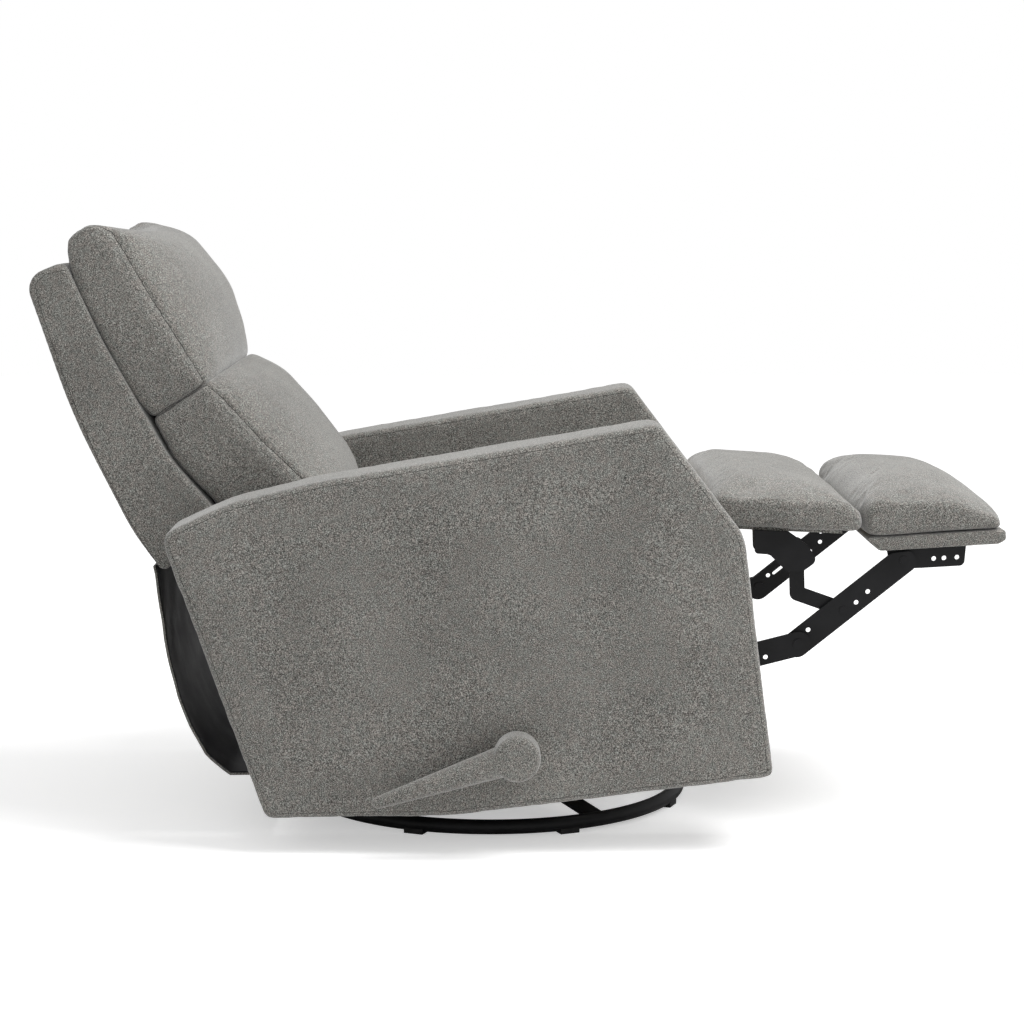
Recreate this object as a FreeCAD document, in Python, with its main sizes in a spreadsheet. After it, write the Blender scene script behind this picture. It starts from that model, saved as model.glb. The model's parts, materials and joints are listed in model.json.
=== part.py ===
import FreeCAD, Part
import math
import os

# Swivel glider recliner, shown with the footrest out and the back reclined.
# Frame: x forward (the sitter's view), y to the sitter's left, z up.
# The origin is on the swivel axis at floor level. Lengths are millimetres, angles degrees.

doc = FreeCAD.newDocument("recliner")
sizes = doc.addObject("Spreadsheet::Sheet", "sizes")

DRIVING = [
    # Base ring, spokes and swivel bearing
    ("ring_radius", 294.0), ("ring_tube_radius", 11.0), ("ring_lift", 3.0),
    ("floor_pad_count", 8), ("floor_pad_length", 30.0), ("floor_pad_width", 18.0),
    ("floor_pad_height", 9.0), ("spoke_angle", 32.0), ("spoke_width", 32.0),
    ("spoke_thickness", 5.0), ("hub_radius", 78.0), ("hub_height", 49.0),
    ("race_thickness", 4.0), ("race_radius", 74.0), ("race_gap", 6.0), ("ball_radius", 4.0),
    ("ball_count", 18), ("ball_circle_radius", 58.0), ("bearing_bore_radius", 15.0),
    # Glide linkage
    ("glide_pivot_x", 130.0), ("glide_pivot_top", 215.0), ("glide_link_length", 130.0),
    ("glide_link_half_width", 15.0), ("steel_plate", 6.0), ("frame_plate_y", 170.0),
    ("link_plate_y", 180.0), ("carriage_plate_y", 190.0), ("frame_half_length", 154.0),
    ("frame_rail_height", 34.0), ("upright_half_width", 16.0), ("frame_cross_width", 40.0),
    ("frame_cross_height", 14.0), ("frame_cross_x", 48.0), ("pivot_pin_radius", 6.0),
    ("running_gap", 0.3), ("pin_head_radius", 10.0), ("pin_head_height", 2.0),
    ("carriage_half_length", 236.0), ("carriage_rail_half_height", 16.0),
    ("carriage_tube_x", 216.0), ("carriage_tube_radius", 10.0), ("strut_foot_x", 130.0),
    ("strut_half_width", 16.0),
    # Tilt of the seat on its carriage
    ("tilt_x", 40.0), ("tilt_z", 200.0), ("tilt_angle", 7.0), ("tilt_shaft_radius", 11.0),
    # Arms
    ("arm_inner_y", 281.5), ("arm_width", 116.0), ("arm_cover_wall", 12.0),
    ("arm_front_x", 389.0), ("arm_bottom_z", 68.0), ("arm_knee_z", 416.0),
    ("arm_top_front_x", 284.0), ("arm_top_front_z", 590.0), ("arm_top_rear_x", -205.0),
    ("arm_top_rear_z", 567.0), ("arm_shoulder_x", -330.0), ("arm_shoulder_z", 552.0),
    ("arm_rear_top_x", -431.0), ("arm_rear_top_z", 520.0), ("arm_rear_bottom_x", -338.0),
    ("arm_rear_bottom_z", 97.0), ("arm_belly_x", -70.0), ("arm_board_width", 46.0),
    # Steel side plates of the recliner mechanism
    ("mech_plate", 4.0), ("cross_bar_size", 24.0), ("front_cross_x", 110.0),
    ("rear_cross_x", -118.0),
    # Seat box and seat cushion
    ("seat_box_half_width", 232.0), ("seat_board", 18.0), ("seat_board_height", 80.0),
    ("seat_front_x", 303.0), ("seat_rear_x", -195.0), ("seat_front_top", 430.0),
    ("seat_rear_top", 347.0), ("spring_count", 6), ("spring_wire_radius", 1.9),
    ("spring_wave", 24.0), ("spring_turns", 16),
    ("seat_half_width", 268.0), ("seat_nose_x", 305.0), ("seat_nose_tuck", 12.0),
    ("seat_nose_top", 482.0), ("seat_tail_x", -154.0), ("seat_tail_top", 444.0), ("seat_crown", 12.0),
    # Rear bottom rail and the fabric apron behind the seat
    ("rear_rail_x", -346.0), ("rear_rail_thickness", 20.0), ("rear_rail_bottom", 88.0),
    ("rear_rail_height", 46.0), ("apron_half_width", 262.0), ("apron_thickness", 5.0),
    # Back
    ("back_hinge_x", -182.0), ("back_hinge_z", 358.0), ("back_recline", 13.0),
    ("back_half_width", 272.0), ("back_wall", 9.0), ("back_rear_u", -282.0),
    ("back_top_v", 620.0), ("back_bottom_v", 148.0), ("back_board", 20.0),
    ("back_plate_y", 250.0), ("back_plate_half_width", 20.0),
    ("cushion_half_width", 264.0), ("cushion_crown", 44.0),
    # Footrest: pivots are in the upright body, with the footrest out
    ("lower_pivot_x", 265.0), ("lower_pivot_z", 206.0), ("knee_pivot_x", 456.8),
    ("knee_pivot_z", 230.4), ("outer_pivot_x", 623.7), ("outer_pivot_z", 333.9),
    ("bent_top_x", 468.6), ("bent_top_z", 350.9), ("bent_foot_x", 528.3),
    ("bent_foot_z", 271.0), ("link_thickness", 4.0), ("long_bar_half_width", 19.5),
    ("lower_link_half_width", 18.0), ("small_link_half_width", 11.0),
    ("bracket_hole_radius", 3.6), ("lower_link_y", 264.0), ("long_bar_y", 257.0),
    ("bent_link_y", 250.0), ("pad_bracket_y", 254.0), ("crank_y", 250.0),
    ("drive_rod_y", 243.0), ("slot_half_width", 2.6), ("rivet_radius", 6.0),
    ("rivet_height", 1.0), ("link_pin_radius", 5.0),
    ("footrest_half_width", 268.0), ("pad_crown", 20.0), ("board_thickness", 14.0),
    ("pad_a_rear_x", 350.0), ("pad_a_front_x", 560.0), ("pad_b_rear_x", 576.0),
    ("pad_b_front_x", 774.0), ("pad_flange_rear_x", 411.0), ("pad_flange_front_x", 462.0),
    ("outer_flange_rear_x", 602.0), ("outer_flange_front_x", 718.0), ("flange_width", 22.0),
    ("flange_thickness", 3.0),
    # Drive tube and handle
    ("drive_x", 30.0), ("drive_z", 151.0), ("drive_tube_radius", 11.0),
    ("rod_half_width", 7.5), ("crank_radius", 25.54), ("crank_hub_radius", 17.0),
    ("crank_half_width", 9.0), ("crank_angle", 83.97), ("tail_radius", 43.98),
    ("tail_angle", 315.88), ("tail_stud_radius", 4.0), ("handle_hub_radius", 33.0),
    ("handle_hub_inner_y", 399.5), ("handle_hub_width", 52.0), ("handle_length", 216.0),
    ("handle_angle", 191.6), ("handle_hub_round", 9.0),
    ("handle_root_radius", 24.0), ("handle_tip_radius", 9.0),
]
for row, (alias, number) in enumerate(DRIVING, start=1):
    sizes.set("A%d" % row, str(number))
    sizes.setAlias("A%d" % row, alias)
doc.recompute()


class Sizes:
    """The sheet's numbers, read back by name."""

    def __getattr__(self, alias):
        return float(sizes.get(alias))


S = Sizes()
V = FreeCAD.Vector
LEVEL = FreeCAD.Placement()


def turned(x, z, angle):
    """Turn about a line along y through (x, z); positive lifts the front."""
    turn = FreeCAD.Rotation(V(0, 1, 0), -angle)
    return FreeCAD.Placement(V(x, 0, z), turn) * FreeCAD.Placement(V(-x, 0, -z), FreeCAD.Rotation())


BODY = turned(S.tilt_x, S.tilt_z, S.tilt_angle)
BACK = BODY * turned(S.back_hinge_x, S.back_hinge_z, S.back_recline)
BACK = BACK * FreeCAD.Placement(V(S.back_hinge_x, 0, S.back_hinge_z), FreeCAD.Rotation())

kept = []


def keep(piece, label, placement=LEVEL):
    """Name a finished sub-part and put it in its place."""
    piece.Label = label
    piece.Placement = placement * piece.Placement
    kept.append(piece)
    return piece


def feature(name, shape):
    """A sub-part whose form is made with the Part functions."""
    piece = doc.addObject("Part::Feature", name)
    piece.Shape = shape
    return piece


# Outlines

def corner_arc(before, corner, after, radius):
    """Tangent points and mid point of a round corner."""
    back = (before - corner).normalize()
    ahead = (after - corner).normalize()
    half = back.getAngle(ahead) / 2.0
    reach = radius / math.tan(half)
    middle = (back + ahead).normalize()
    centre = corner + middle * (radius / math.sin(half))
    return corner + back * reach, centre - middle * radius, corner + ahead * reach


def outline_edges(points):
    """Closed outline of (x, z, corner radius) as lines and tangent arcs in the xz plane."""
    corners = [V(x, 0, z) for x, z, radius in points]
    count = len(corners)
    stretches = []
    for i in range(count):
        radius = points[i][2]
        if radius > 0:
            stretches.append(corner_arc(corners[i - 1], corners[i], corners[(i + 1) % count], radius))
        else:
            stretches.append((corners[i], None, corners[i]))
    edges = []
    for i, (start, middle, end) in enumerate(stretches):
        if middle is not None:
            edges.append(Part.Arc(start, middle, end))
        following = stretches[(i + 1) % count][0]
        if (following - end).Length > 1e-4:
            edges.append(Part.LineSegment(end, following))
    return edges


def wire(points, y=0.0):
    """The same outline as one wire at the given y."""
    loop = Part.Wire([edge.toShape() for edge in outline_edges(points)])
    loop.translate(V(0, y, 0))
    return loop


def bar(ends, half_width, overhang=None):
    """Outline of a straight bar with round ends, from pivot to pivot."""
    overhang = half_width if overhang is None else overhang
    a = V(ends[0][0], 0, ends[0][1])
    b = V(ends[1][0], 0, ends[1][1])
    along = (b - a).normalize()
    side = V(-along.z, 0, along.x) * half_width
    tail = a - along * overhang
    nose = b + along * overhang
    radius = half_width * 0.999
    return [(p.x, p.z, radius) for p in (tail - side, nose - side, nose + side, tail + side)]


def inset(points, distance):
    """Outline moved inwards by a distance; points run counter-clockwise."""
    count = len(points)
    result = []
    for i in range(count):
        x0, z0, _ = points[i - 1]
        x1, z1, radius = points[i]
        x2, z2, _ = points[(i + 1) % count]
        first = V(x1 - x0, 0, z1 - z0).normalize()
        second = V(x2 - x1, 0, z2 - z1).normalize()
        normal_a = V(-first.z, 0, first.x)
        normal_b = V(-second.z, 0, second.x)
        split = (normal_a + normal_b).normalize()
        reach = distance / split.dot(normal_a)
        result.append((x1 + split.x * reach, z1 + split.z * reach, max(radius - distance, min(radius, 1.0))))
    return result


def plate(name, points, holes, thickness, windows=()):
    """Pad of an outline, less round holes (x, z, radius) and inner outlines, with y from -thickness to 0."""
    body = doc.addObject("PartDesign::Body", name)
    plane = [f for f in body.Origin.OriginFeatures if f.Role == "XZ_Plane"][0]
    sketch = body.newObject("Sketcher::SketchObject", name + "_outline")
    sketch.AttachmentSupport = (plane, [""])
    sketch.MapMode = "FlatFace"
    for loop in (points, *windows):
        for edge in outline_edges(loop):
            if isinstance(edge, Part.LineSegment):
                sketch.addGeometry(Part.LineSegment(flat(edge.StartPoint), flat(edge.EndPoint)), False)
            else:
                sketch.addGeometry(flat_arc(edge), False)
    for x, z, radius in holes:
        sketch.addGeometry(Part.Circle(V(x, z, 0), V(0, 0, 1), radius), False)
    pad = body.newObject("PartDesign::Pad", name + "_pad")
    pad.Profile = sketch
    pad.setExpression("Length", thickness)
    sketch.Visibility = False
    return body


def flat(point):
    """A point of the xz plane in the sketch's own plane."""
    return V(point.x, point.z, 0)


def flat_arc(arc):
    edge = arc.toShape()
    first, last = edge.ParameterRange
    middle = edge.valueAt((first + last) / 2.0)
    ends = edge.Vertexes
    return Part.Arc(flat(ends[0].Point), flat(middle), flat(ends[-1].Point))


def at_y(piece, y):
    """Move a plate so that its outer (+y) face lies at y."""
    piece.Placement = FreeCAD.Placement(V(0, y, 0), FreeCAD.Rotation())
    return piece


def side_y(side, inner, thickness):
    """The y of a plate's +y face, from its distance to the middle; side is -1 right, 1 left."""
    return inner + thickness if side > 0 else -inner


def pin(x, z, radius, y_from, y_to):
    """A cylinder along y."""
    low = min(y_from, y_to)
    return Part.makeCylinder(radius, abs(y_to - y_from), V(x, low, z), V(0, 1, 0))


def box(x0, x1, y0, y1, z0, z1):
    return Part.makeBox(x1 - x0, y1 - y0, z1 - z0, V(x0, y0, z0))


def prism(points, y0, y1):
    """Solid between two y planes with the given outline."""
    return Part.Face(wire(points, y0)).extrude(V(0, y1 - y0, 0))


def crowned(side, crown, half_width, edge_round=6.0):
    """Cushion loft: the side outline swells to the crown outline in the middle, and draws in at its ends."""
    loops = []
    for share in CROWN_STEPS:
        swell = 1.0 - abs(share) ** 2.6
        drawn_in = edge_round * max(0.0, (abs(share) - 0.8) / 0.2) ** 3
        points = []
        for (x0, z0, r0), (x1, z1, r1) in zip(side, crown):
            points.append((x0 + (x1 - x0) * swell, z0 + (z1 - z0) * swell, r0 + (r1 - r0) * swell))
        if drawn_in > 0:
            points = inset(points, drawn_in)
        loops.append(wire(points, share * half_width))
    return Part.makeLoft(loops, True, False)


CROWN_STEPS = (-1.0, -0.95, -0.88, -0.76, -0.56, -0.3, 0.0, 0.3, 0.56, 0.76, 0.88, 0.95, 1.0)
SIDES = (("right", -1), ("left", 1))


# Base ring, spokes, floor pads and the swivel bearing

ring_z = S.ring_lift + S.ring_tube_radius
ring = doc.addObject("Part::Torus", "ring_tube")
ring.setExpression("Radius1", "sizes.ring_radius")
ring.setExpression("Radius2", "sizes.ring_tube_radius")
ring.setExpression("Placement.Base.z", "sizes.ring_lift + sizes.ring_tube_radius")
doc.recompute()
keep(ring, "base_ring")

pads = []
pad_length = S.floor_pad_length
for i in range(int(S.floor_pad_count)):
    block = box(S.ring_radius - S.floor_pad_width / 2, S.ring_radius + S.floor_pad_width / 2,
                -pad_length / 2, pad_length / 2, 0, S.floor_pad_height)
    block.rotate(V(0, 0, 0), V(0, 0, 1), (i + 0.5) * 360.0 / S.floor_pad_count)
    pads.append(block.cut(ring.Shape))
keep(feature("floor_pads", Part.makeCompound(pads)), "floor_pads")

spoke_shapes = []
hub = Part.makeCylinder(S.hub_radius, S.spoke_thickness, V(0, 0, S.hub_height))
hub_top = S.hub_height + S.spoke_thickness
bore = Part.makeCylinder(S.bearing_bore_radius, S.hub_height * 2, V(0, 0, 0))
for i in range(4):
    inner_x = S.hub_radius - 12.0
    outer_x = S.ring_radius
    rise = hub_top - (ring_z + S.ring_tube_radius * 0.6)
    run = outer_x - inner_x
    length = math.hypot(run, rise)
    arm_bar = box(0, length, -S.spoke_width / 2, S.spoke_width / 2, -S.spoke_thickness, 0)
    arm_bar.rotate(V(0, 0, 0), V(0, 1, 0), math.degrees(math.atan2(rise, run)))
    arm_bar.translate(V(inner_x, 0, hub_top))
    arm_bar.rotate(V(0, 0, 0), V(0, 0, 1), 90.0 - S.spoke_angle if i % 2 == 0 else 90.0 + S.spoke_angle)
    if i >= 2:
        arm_bar.rotate(V(0, 0, 0), V(0, 0, 1), 180.0)
    spoke_shapes.append(arm_bar)
spider = hub.multiFuse(spoke_shapes).removeSplitter().cut(ring.Shape).cut(bore)
keep(feature("spoke_spider", spider), "spoke_spider")


def groove(circle_radius, radius, height):
    """Ring-shaped track that the balls run in."""
    return Part.makeTorus(circle_radius, radius, V(0, 0, height))


lower_race_top = hub_top + S.race_thickness
upper_race_bottom = lower_race_top + S.race_gap
ball_z = (lower_race_top + upper_race_bottom) / 2.0
track = groove(S.ball_circle_radius, S.ball_radius + 0.1, ball_z)
lower_race = Part.makeCylinder(S.race_radius, S.race_thickness, V(0, 0, hub_top)).cut(bore).cut(track)
keep(feature("lower_race", lower_race), "lower_race")
upper_race = Part.makeCylinder(S.race_radius, S.race_thickness, V(0, 0, upper_race_bottom))
upper_race = upper_race.cut(Part.makeCylinder(S.bearing_bore_radius, 200.0)).cut(track)
keep(feature("upper_race", upper_race), "upper_race")
balls = []
for i in range(int(S.ball_count)):
    turn = math.radians(i * 360.0 / S.ball_count)
    at = V(S.ball_circle_radius * math.cos(turn), S.ball_circle_radius * math.sin(turn), ball_z)
    balls.append(Part.makeSphere(S.ball_radius, at))
keep(feature("bearing_balls", Part.makeCompound(balls)), "bearing_balls")

# Glide frame on the swivel: two side plates with uprights, two cross channels

deck_z = upper_race_bottom + S.race_thickness
pivot_top = S.glide_pivot_top
pivot_low = S.glide_pivot_top - S.glide_link_length
half = S.upright_half_width
rail_top = deck_z + S.frame_rail_height
frame_outline = [
    (-S.frame_half_length, deck_z, 6), (S.frame_half_length, deck_z, 6),
    (S.glide_pivot_x + half, pivot_top + half, half * 0.99),
    (S.glide_pivot_x - half, pivot_top + half, half * 0.99),
    (S.glide_pivot_x - half, rail_top, 20), (-S.glide_pivot_x + half, rail_top, 20),
    (-S.glide_pivot_x + half, pivot_top + half, half * 0.99),
    (-S.glide_pivot_x - half, pivot_top + half, half * 0.99),
]
pivots_top = [(x, pivot_top) for x in (-S.glide_pivot_x, S.glide_pivot_x)]
for side_name, side in SIDES:
    side_plate = plate("glide_plate_" + side_name, frame_outline, [], "sizes.steel_plate")
    doc.recompute()
    side_plate = side_plate.Shape.copy()
    side_plate.translate(V(0, side_y(side, S.frame_plate_y, S.steel_plate), 0))
    shapes = [side_plate]
    for x, z in pivots_top:
        outer = side * (S.link_plate_y + S.steel_plate + S.running_gap)
        shapes.append(pin(x, z, S.pivot_pin_radius, side * S.frame_plate_y, outer))
        shapes.append(pin(x, z, S.pin_head_radius, outer, outer + side * S.pin_head_height))
    keep(feature("glide_frame_" + side_name, shapes[0].multiFuse(shapes[1:]).removeSplitter()),
         side_name + "_glide_frame")
channels = []
wall = 3.0
for x in (-S.frame_cross_x, S.frame_cross_x):
    reach = S.frame_plate_y
    channel = box(x - S.frame_cross_width / 2, x + S.frame_cross_width / 2, -reach, reach,
                  deck_z, deck_z + S.frame_cross_height)
    hollow = box(x - S.frame_cross_width / 2 + wall, x + S.frame_cross_width / 2 - wall, -reach, reach,
                 deck_z + wall, deck_z + S.frame_cross_height)
    channels.append(channel.cut(hollow))
keep(feature("glide_cross_channels", Part.makeCompound(channels)), "glide_cross_channels")

# Glide links: two on each end, hanging from the frame to the carriage

for end_name, end in (("front", 1), ("rear", -1)):
    x = end * S.glide_pivot_x
    solids = []
    for side_name, side in SIDES:
        link_body = plate("glide_link_%s_%s" % (end_name, side_name),
                          bar([(x, pivot_low), (x, pivot_top)], S.glide_link_half_width),
                          [(x, pivot_top, S.pivot_pin_radius + S.running_gap)], "sizes.steel_plate")
        doc.recompute()
        link = link_body.Shape.copy()
        link.translate(V(0, side_y(side, S.link_plate_y, S.steel_plate), 0))
        outer = side * (S.carriage_plate_y + S.steel_plate + S.running_gap)
        stud = pin(x, pivot_low, S.pivot_pin_radius, side * (S.link_plate_y + 1.0), outer)
        head = pin(x, pivot_low, S.pin_head_radius, outer, outer + side * S.pin_head_height)
        solids.append(link.multiFuse([stud, head]).removeSplitter())
    keep(feature(end_name + "_glide_links", Part.makeCompound(solids)), end_name + "_glide_links")

# Carriage: side rails with tilt struts, joined by two tubes

rail_half = S.carriage_rail_half_height
carriage_outline = [
    (-S.carriage_half_length, pivot_low - rail_half, 12),
    (S.carriage_half_length, pivot_low - rail_half, 12),
    (S.carriage_half_length, pivot_low + rail_half, 12),
    (S.strut_foot_x + 46.0, pivot_low + rail_half, 40),
    (S.tilt_x + 27.0, S.tilt_z + 21.0, 16), (S.tilt_x - 14.0, S.tilt_z + 21.0, 16),
    (S.tilt_x - 14.0, S.tilt_z - 16.0, 10),
    (S.strut_foot_x - 22.0, pivot_low + rail_half, 30),
    (-S.carriage_half_length, pivot_low + rail_half, 12),
]
hinge_hole = S.pivot_pin_radius + S.running_gap
for side_name, side in SIDES:
    holes = [(S.glide_pivot_x, pivot_low, hinge_hole), (-S.glide_pivot_x, pivot_low, hinge_hole),
             (S.tilt_x, S.tilt_z, S.tilt_shaft_radius + S.running_gap)]
    rail = plate("carriage_rail_" + side_name, carriage_outline, holes, "sizes.steel_plate")
    keep(at_y(rail, side_y(side, S.carriage_plate_y, S.steel_plate)), side_name + "_carriage_rail")
tubes = []
for x in (-S.carriage_tube_x, S.carriage_tube_x):
    y = S.carriage_plate_y
    tube = pin(x, pivot_low, S.carriage_tube_radius, -y, y)
    tubes.append(tube.cut(pin(x, pivot_low, S.carriage_tube_radius - 2.0, -y, y)))
keep(feature("carriage_tubes", Part.makeCompound(tubes)), "carriage_tubes")

# Arms: padded fabric cover around a wooden frame

arm_outline = [
    (S.arm_front_x, S.arm_bottom_z, 12), (S.arm_front_x - 3.0, S.arm_knee_z, 60),
    (S.arm_top_front_x, S.arm_top_front_z, 22), (S.arm_top_rear_x, S.arm_top_rear_z, 900),
    (S.arm_shoulder_x, S.arm_shoulder_z, 380), (S.arm_rear_top_x, S.arm_rear_top_z, 26),
    (S.arm_rear_bottom_x, S.arm_rear_bottom_z, 18), (S.arm_belly_x, S.arm_bottom_z, 600),
]
hollow_outline = inset(arm_outline, S.arm_cover_wall)
frame_outer = inset(arm_outline, S.arm_cover_wall + S.running_gap)
frame_inner = inset(arm_outline, S.arm_cover_wall + S.arm_board_width)
tube_way = [(S.drive_x, S.drive_z, S.drive_tube_radius + 1.0)]
for side_name, side in SIDES:
    holes = tube_way if side < 0 else []
    outer = plate("arm_block_" + side_name, arm_outline, holes, "sizes.arm_width")
    core = plate("arm_hollow_" + side_name, hollow_outline, [],
                 "sizes.arm_width - 2 * sizes.arm_cover_wall")
    at_y(outer, side_y(side, S.arm_inner_y, S.arm_width))
    at_y(core, side_y(side, S.arm_inner_y + S.arm_cover_wall, S.arm_width - 2 * S.arm_cover_wall))
    cover = doc.addObject("Part::Cut", "arm_cover_" + side_name)
    cover.Base = outer
    cover.Tool = core
    doc.recompute()
    keep(cover, side_name + "_arm_cover", BODY)
    frame = plate("arm_frame_" + side_name, frame_outer, [],
                  "sizes.arm_width - 2 * sizes.arm_cover_wall - 2 * sizes.running_gap",
                  [frame_inner])
    depth = S.arm_width - 2 * S.arm_cover_wall - 2 * S.running_gap
    at_y(frame, side_y(side, S.arm_inner_y + S.arm_cover_wall + S.running_gap, depth))
    keep(frame, side_name + "_arm_frame", BODY)

# Mechanism side plates on the inner faces of the arms


def seat_top(x):
    """Height of the seat box's top edge at x."""
    share = (x - S.seat_rear_x) / (S.seat_front_x - S.seat_rear_x)
    return S.seat_rear_top + share * (S.seat_front_top - S.seat_rear_top)


mech_y = S.arm_inner_y - S.mech_plate
bar_half = S.cross_bar_size / 2.0
cross_bars = []
for x in (S.front_cross_x, S.rear_cross_x):
    cross_bars.append((x, seat_top(x - bar_half) - S.seat_board_height - bar_half))
mech_outline = [
    (S.drive_x - 28.0, S.drive_z - 25.0, 16), (S.drive_x + 45.0, S.drive_z - 25.0, 30),
    (S.lower_pivot_x + 30.0, S.lower_pivot_z - 26.0, 26),
    (S.lower_pivot_x + 30.0, S.lower_pivot_z + 34.0, 26),
    (S.front_cross_x + 40.0, cross_bars[0][1] + 40.0, 40),
    (S.rear_cross_x, S.back_hinge_z + 24.0, 60),
    (S.back_hinge_x - 24.0, S.back_hinge_z + 24.0, 22),
    (S.back_hinge_x - 24.0, S.back_hinge_z - 24.0, 22),
    (S.rear_cross_x - 10.0, cross_bars[1][1] - 30.0, 40),
]
drive_hole = (S.drive_x, S.drive_z, S.drive_tube_radius + S.running_gap)
for side_name, side in SIDES:
    mech = plate("mech_plate_" + side_name, mech_outline, [drive_hole], "sizes.mech_plate")
    doc.recompute()
    solid = mech.Shape.copy()
    solid.translate(V(0, side_y(side, mech_y, S.mech_plate), 0))
    lower_in = side * (S.lower_link_y - S.running_gap)
    hinge_in = side * (S.back_plate_y - S.running_gap)
    head = S.pin_head_height - S.running_gap * 2
    shapes = [
        pin(S.lower_pivot_x, S.lower_pivot_z, S.link_pin_radius, side * mech_y, lower_in),
        pin(S.lower_pivot_x, S.lower_pivot_z, S.pin_head_radius, lower_in, lower_in - side * head),
        pin(S.back_hinge_x, S.back_hinge_z, S.pivot_pin_radius, side * mech_y, hinge_in),
        pin(S.back_hinge_x, S.back_hinge_z, S.pin_head_radius, hinge_in,
            hinge_in - side * S.pin_head_height),
    ]
    solid = solid.multiFuse(shapes).removeSplitter()
    keep(feature("mechanism_plate_" + side_name, solid), side_name + "_mechanism_plate", BODY)
bars = []
for x, z in cross_bars:
    tube = box(x - bar_half, x + bar_half, -mech_y, mech_y, z - bar_half, z + bar_half)
    inner = bar_half - 2.0
    bars.append(tube.cut(box(x - inner, x + inner, -mech_y, mech_y, z - inner, z + inner)))
keep(feature("cross_bar_pair", Part.makeCompound(bars)), "cross_bars", BODY)
shaft = pin(S.tilt_x, S.tilt_z, S.tilt_shaft_radius, -mech_y, mech_y)
keep(feature("tilt_shaft_rod", shaft), "tilt_shaft", BODY)

# Seat box, sinuous springs and seat cushion

board = S.seat_board
side_board = [
    (S.seat_rear_x, seat_top(S.seat_rear_x) - S.seat_board_height, 0),
    (S.seat_front_x, seat_top(S.seat_front_x) - S.seat_board_height, 0),
    (S.seat_front_x, seat_top(S.seat_front_x), 0), (S.seat_rear_x, seat_top(S.seat_rear_x), 0),
]
boards = []
for side_name, side in SIDES:
    y0 = side * S.seat_box_half_width
    boards.append(prism(side_board, y0, y0 - side * board))
inner_y = S.seat_box_half_width - board
for x0, x1 in ((S.seat_rear_x, S.seat_rear_x + board), (S.seat_front_x - board, S.seat_front_x)):
    rail_outline = [(x0, seat_top(x0) - S.seat_board_height, 0), (x1, seat_top(x1) - S.seat_board_height, 0),
                    (x1, seat_top(x1), 0), (x0, seat_top(x0), 0)]
    boards.append(prism(rail_outline, -inner_y, inner_y))
keep(feature("seat_box_boards", Part.makeCompound(boards)), "seat_box", BODY)


def wave_spring(length, rungs, width, wire_radius):
    """Zigzag spring wire along x: straight rungs joined by half turns."""
    pitch = length / rungs
    reach = width / 2.0 - pitch / 2.0
    edges = []
    for i in range(rungs + 1):
        side = 1 if i % 2 == 0 else -1
        x = i * pitch
        edges.append(Part.LineSegment(V(x, -side * reach, 0), V(x, side * reach, 0)).toShape())
        if i < rungs:
            middle = V(x + pitch / 2.0, side * (reach + pitch / 2.0), 0)
            arc = Part.Arc(V(x, side * reach, 0), middle, V(x + pitch, side * reach, 0))
            edges.append(arc.toShape())
    path = Part.Wire(edges)
    section = Part.Wire(Part.makeCircle(wire_radius, V(0, -reach, 0), V(0, 1, 0)))
    return path.makePipeShell([section], True, False)


def spring_row(count, half_span, length, rungs, width):
    """Springs side by side, spread evenly over the span."""
    row = []
    for i in range(count):
        spring = wave_spring(length, rungs, width, S.spring_wire_radius)
        spring.translate(V(0, -half_span + i * 2.0 * half_span / (count - 1), 0))
        row.append(spring)
    return Part.makeCompound(row)


spring_count = int(S.spring_count)
pitch_angle = math.degrees(math.atan2(S.seat_front_top - S.seat_rear_top, S.seat_front_x - S.seat_rear_x))
run = math.hypot(S.seat_front_top - S.seat_rear_top, S.seat_front_x - S.seat_rear_x)
row = spring_row(spring_count, 172.0, run - board, int(S.spring_turns), 2 * S.spring_wave)
row.translate(V(board / 2.0, 0, S.spring_wire_radius))
row.rotate(V(0, 0, 0), V(0, 1, 0), -pitch_angle)
row.translate(V(S.seat_rear_x, 0, S.seat_rear_top))
keep(feature("seat_spring_row", row), "seat_springs", BODY)

lift = 2 * S.spring_wire_radius + S.running_gap + 0.2
nose = S.seat_nose_x
tail = S.seat_tail_x
seat_side = [
    (tail, seat_top(tail) + lift, 16), (nose - S.seat_nose_tuck, seat_top(nose) + lift, 12),
    (nose, S.seat_nose_top, 24), (tail, S.seat_tail_top, 26),
]
seat_middle = [
    seat_side[0], seat_side[1], (nose, S.seat_nose_top + S.seat_crown, 30),
    (tail, S.seat_tail_top + S.seat_crown * 0.6, 26),
]
seat = crowned(seat_side, seat_middle, S.seat_half_width)
keep(feature("seat_cushion_form", seat), "seat_cushion", BODY)

# Rear bottom rail and the apron that hangs from the back to it

rail = box(S.rear_rail_x, S.rear_rail_x + S.rear_rail_thickness, -S.arm_inner_y, S.arm_inner_y,
           S.rear_rail_bottom, S.rear_rail_bottom + S.rear_rail_height)
keep(feature("rear_bottom_board", rail), "rear_bottom_rail", BODY)
apron_foot_x = S.rear_rail_x - S.apron_thickness - S.running_gap
apron_line = [
    (-458.0, 448.0), (-464.0, 352.0), (-459.0, 262.0), (-428.0, 170.0),
    (apron_foot_x, S.rear_rail_bottom + S.rear_rail_height + 4.0), (apron_foot_x, S.rear_rail_bottom + 4.0),
]


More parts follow.
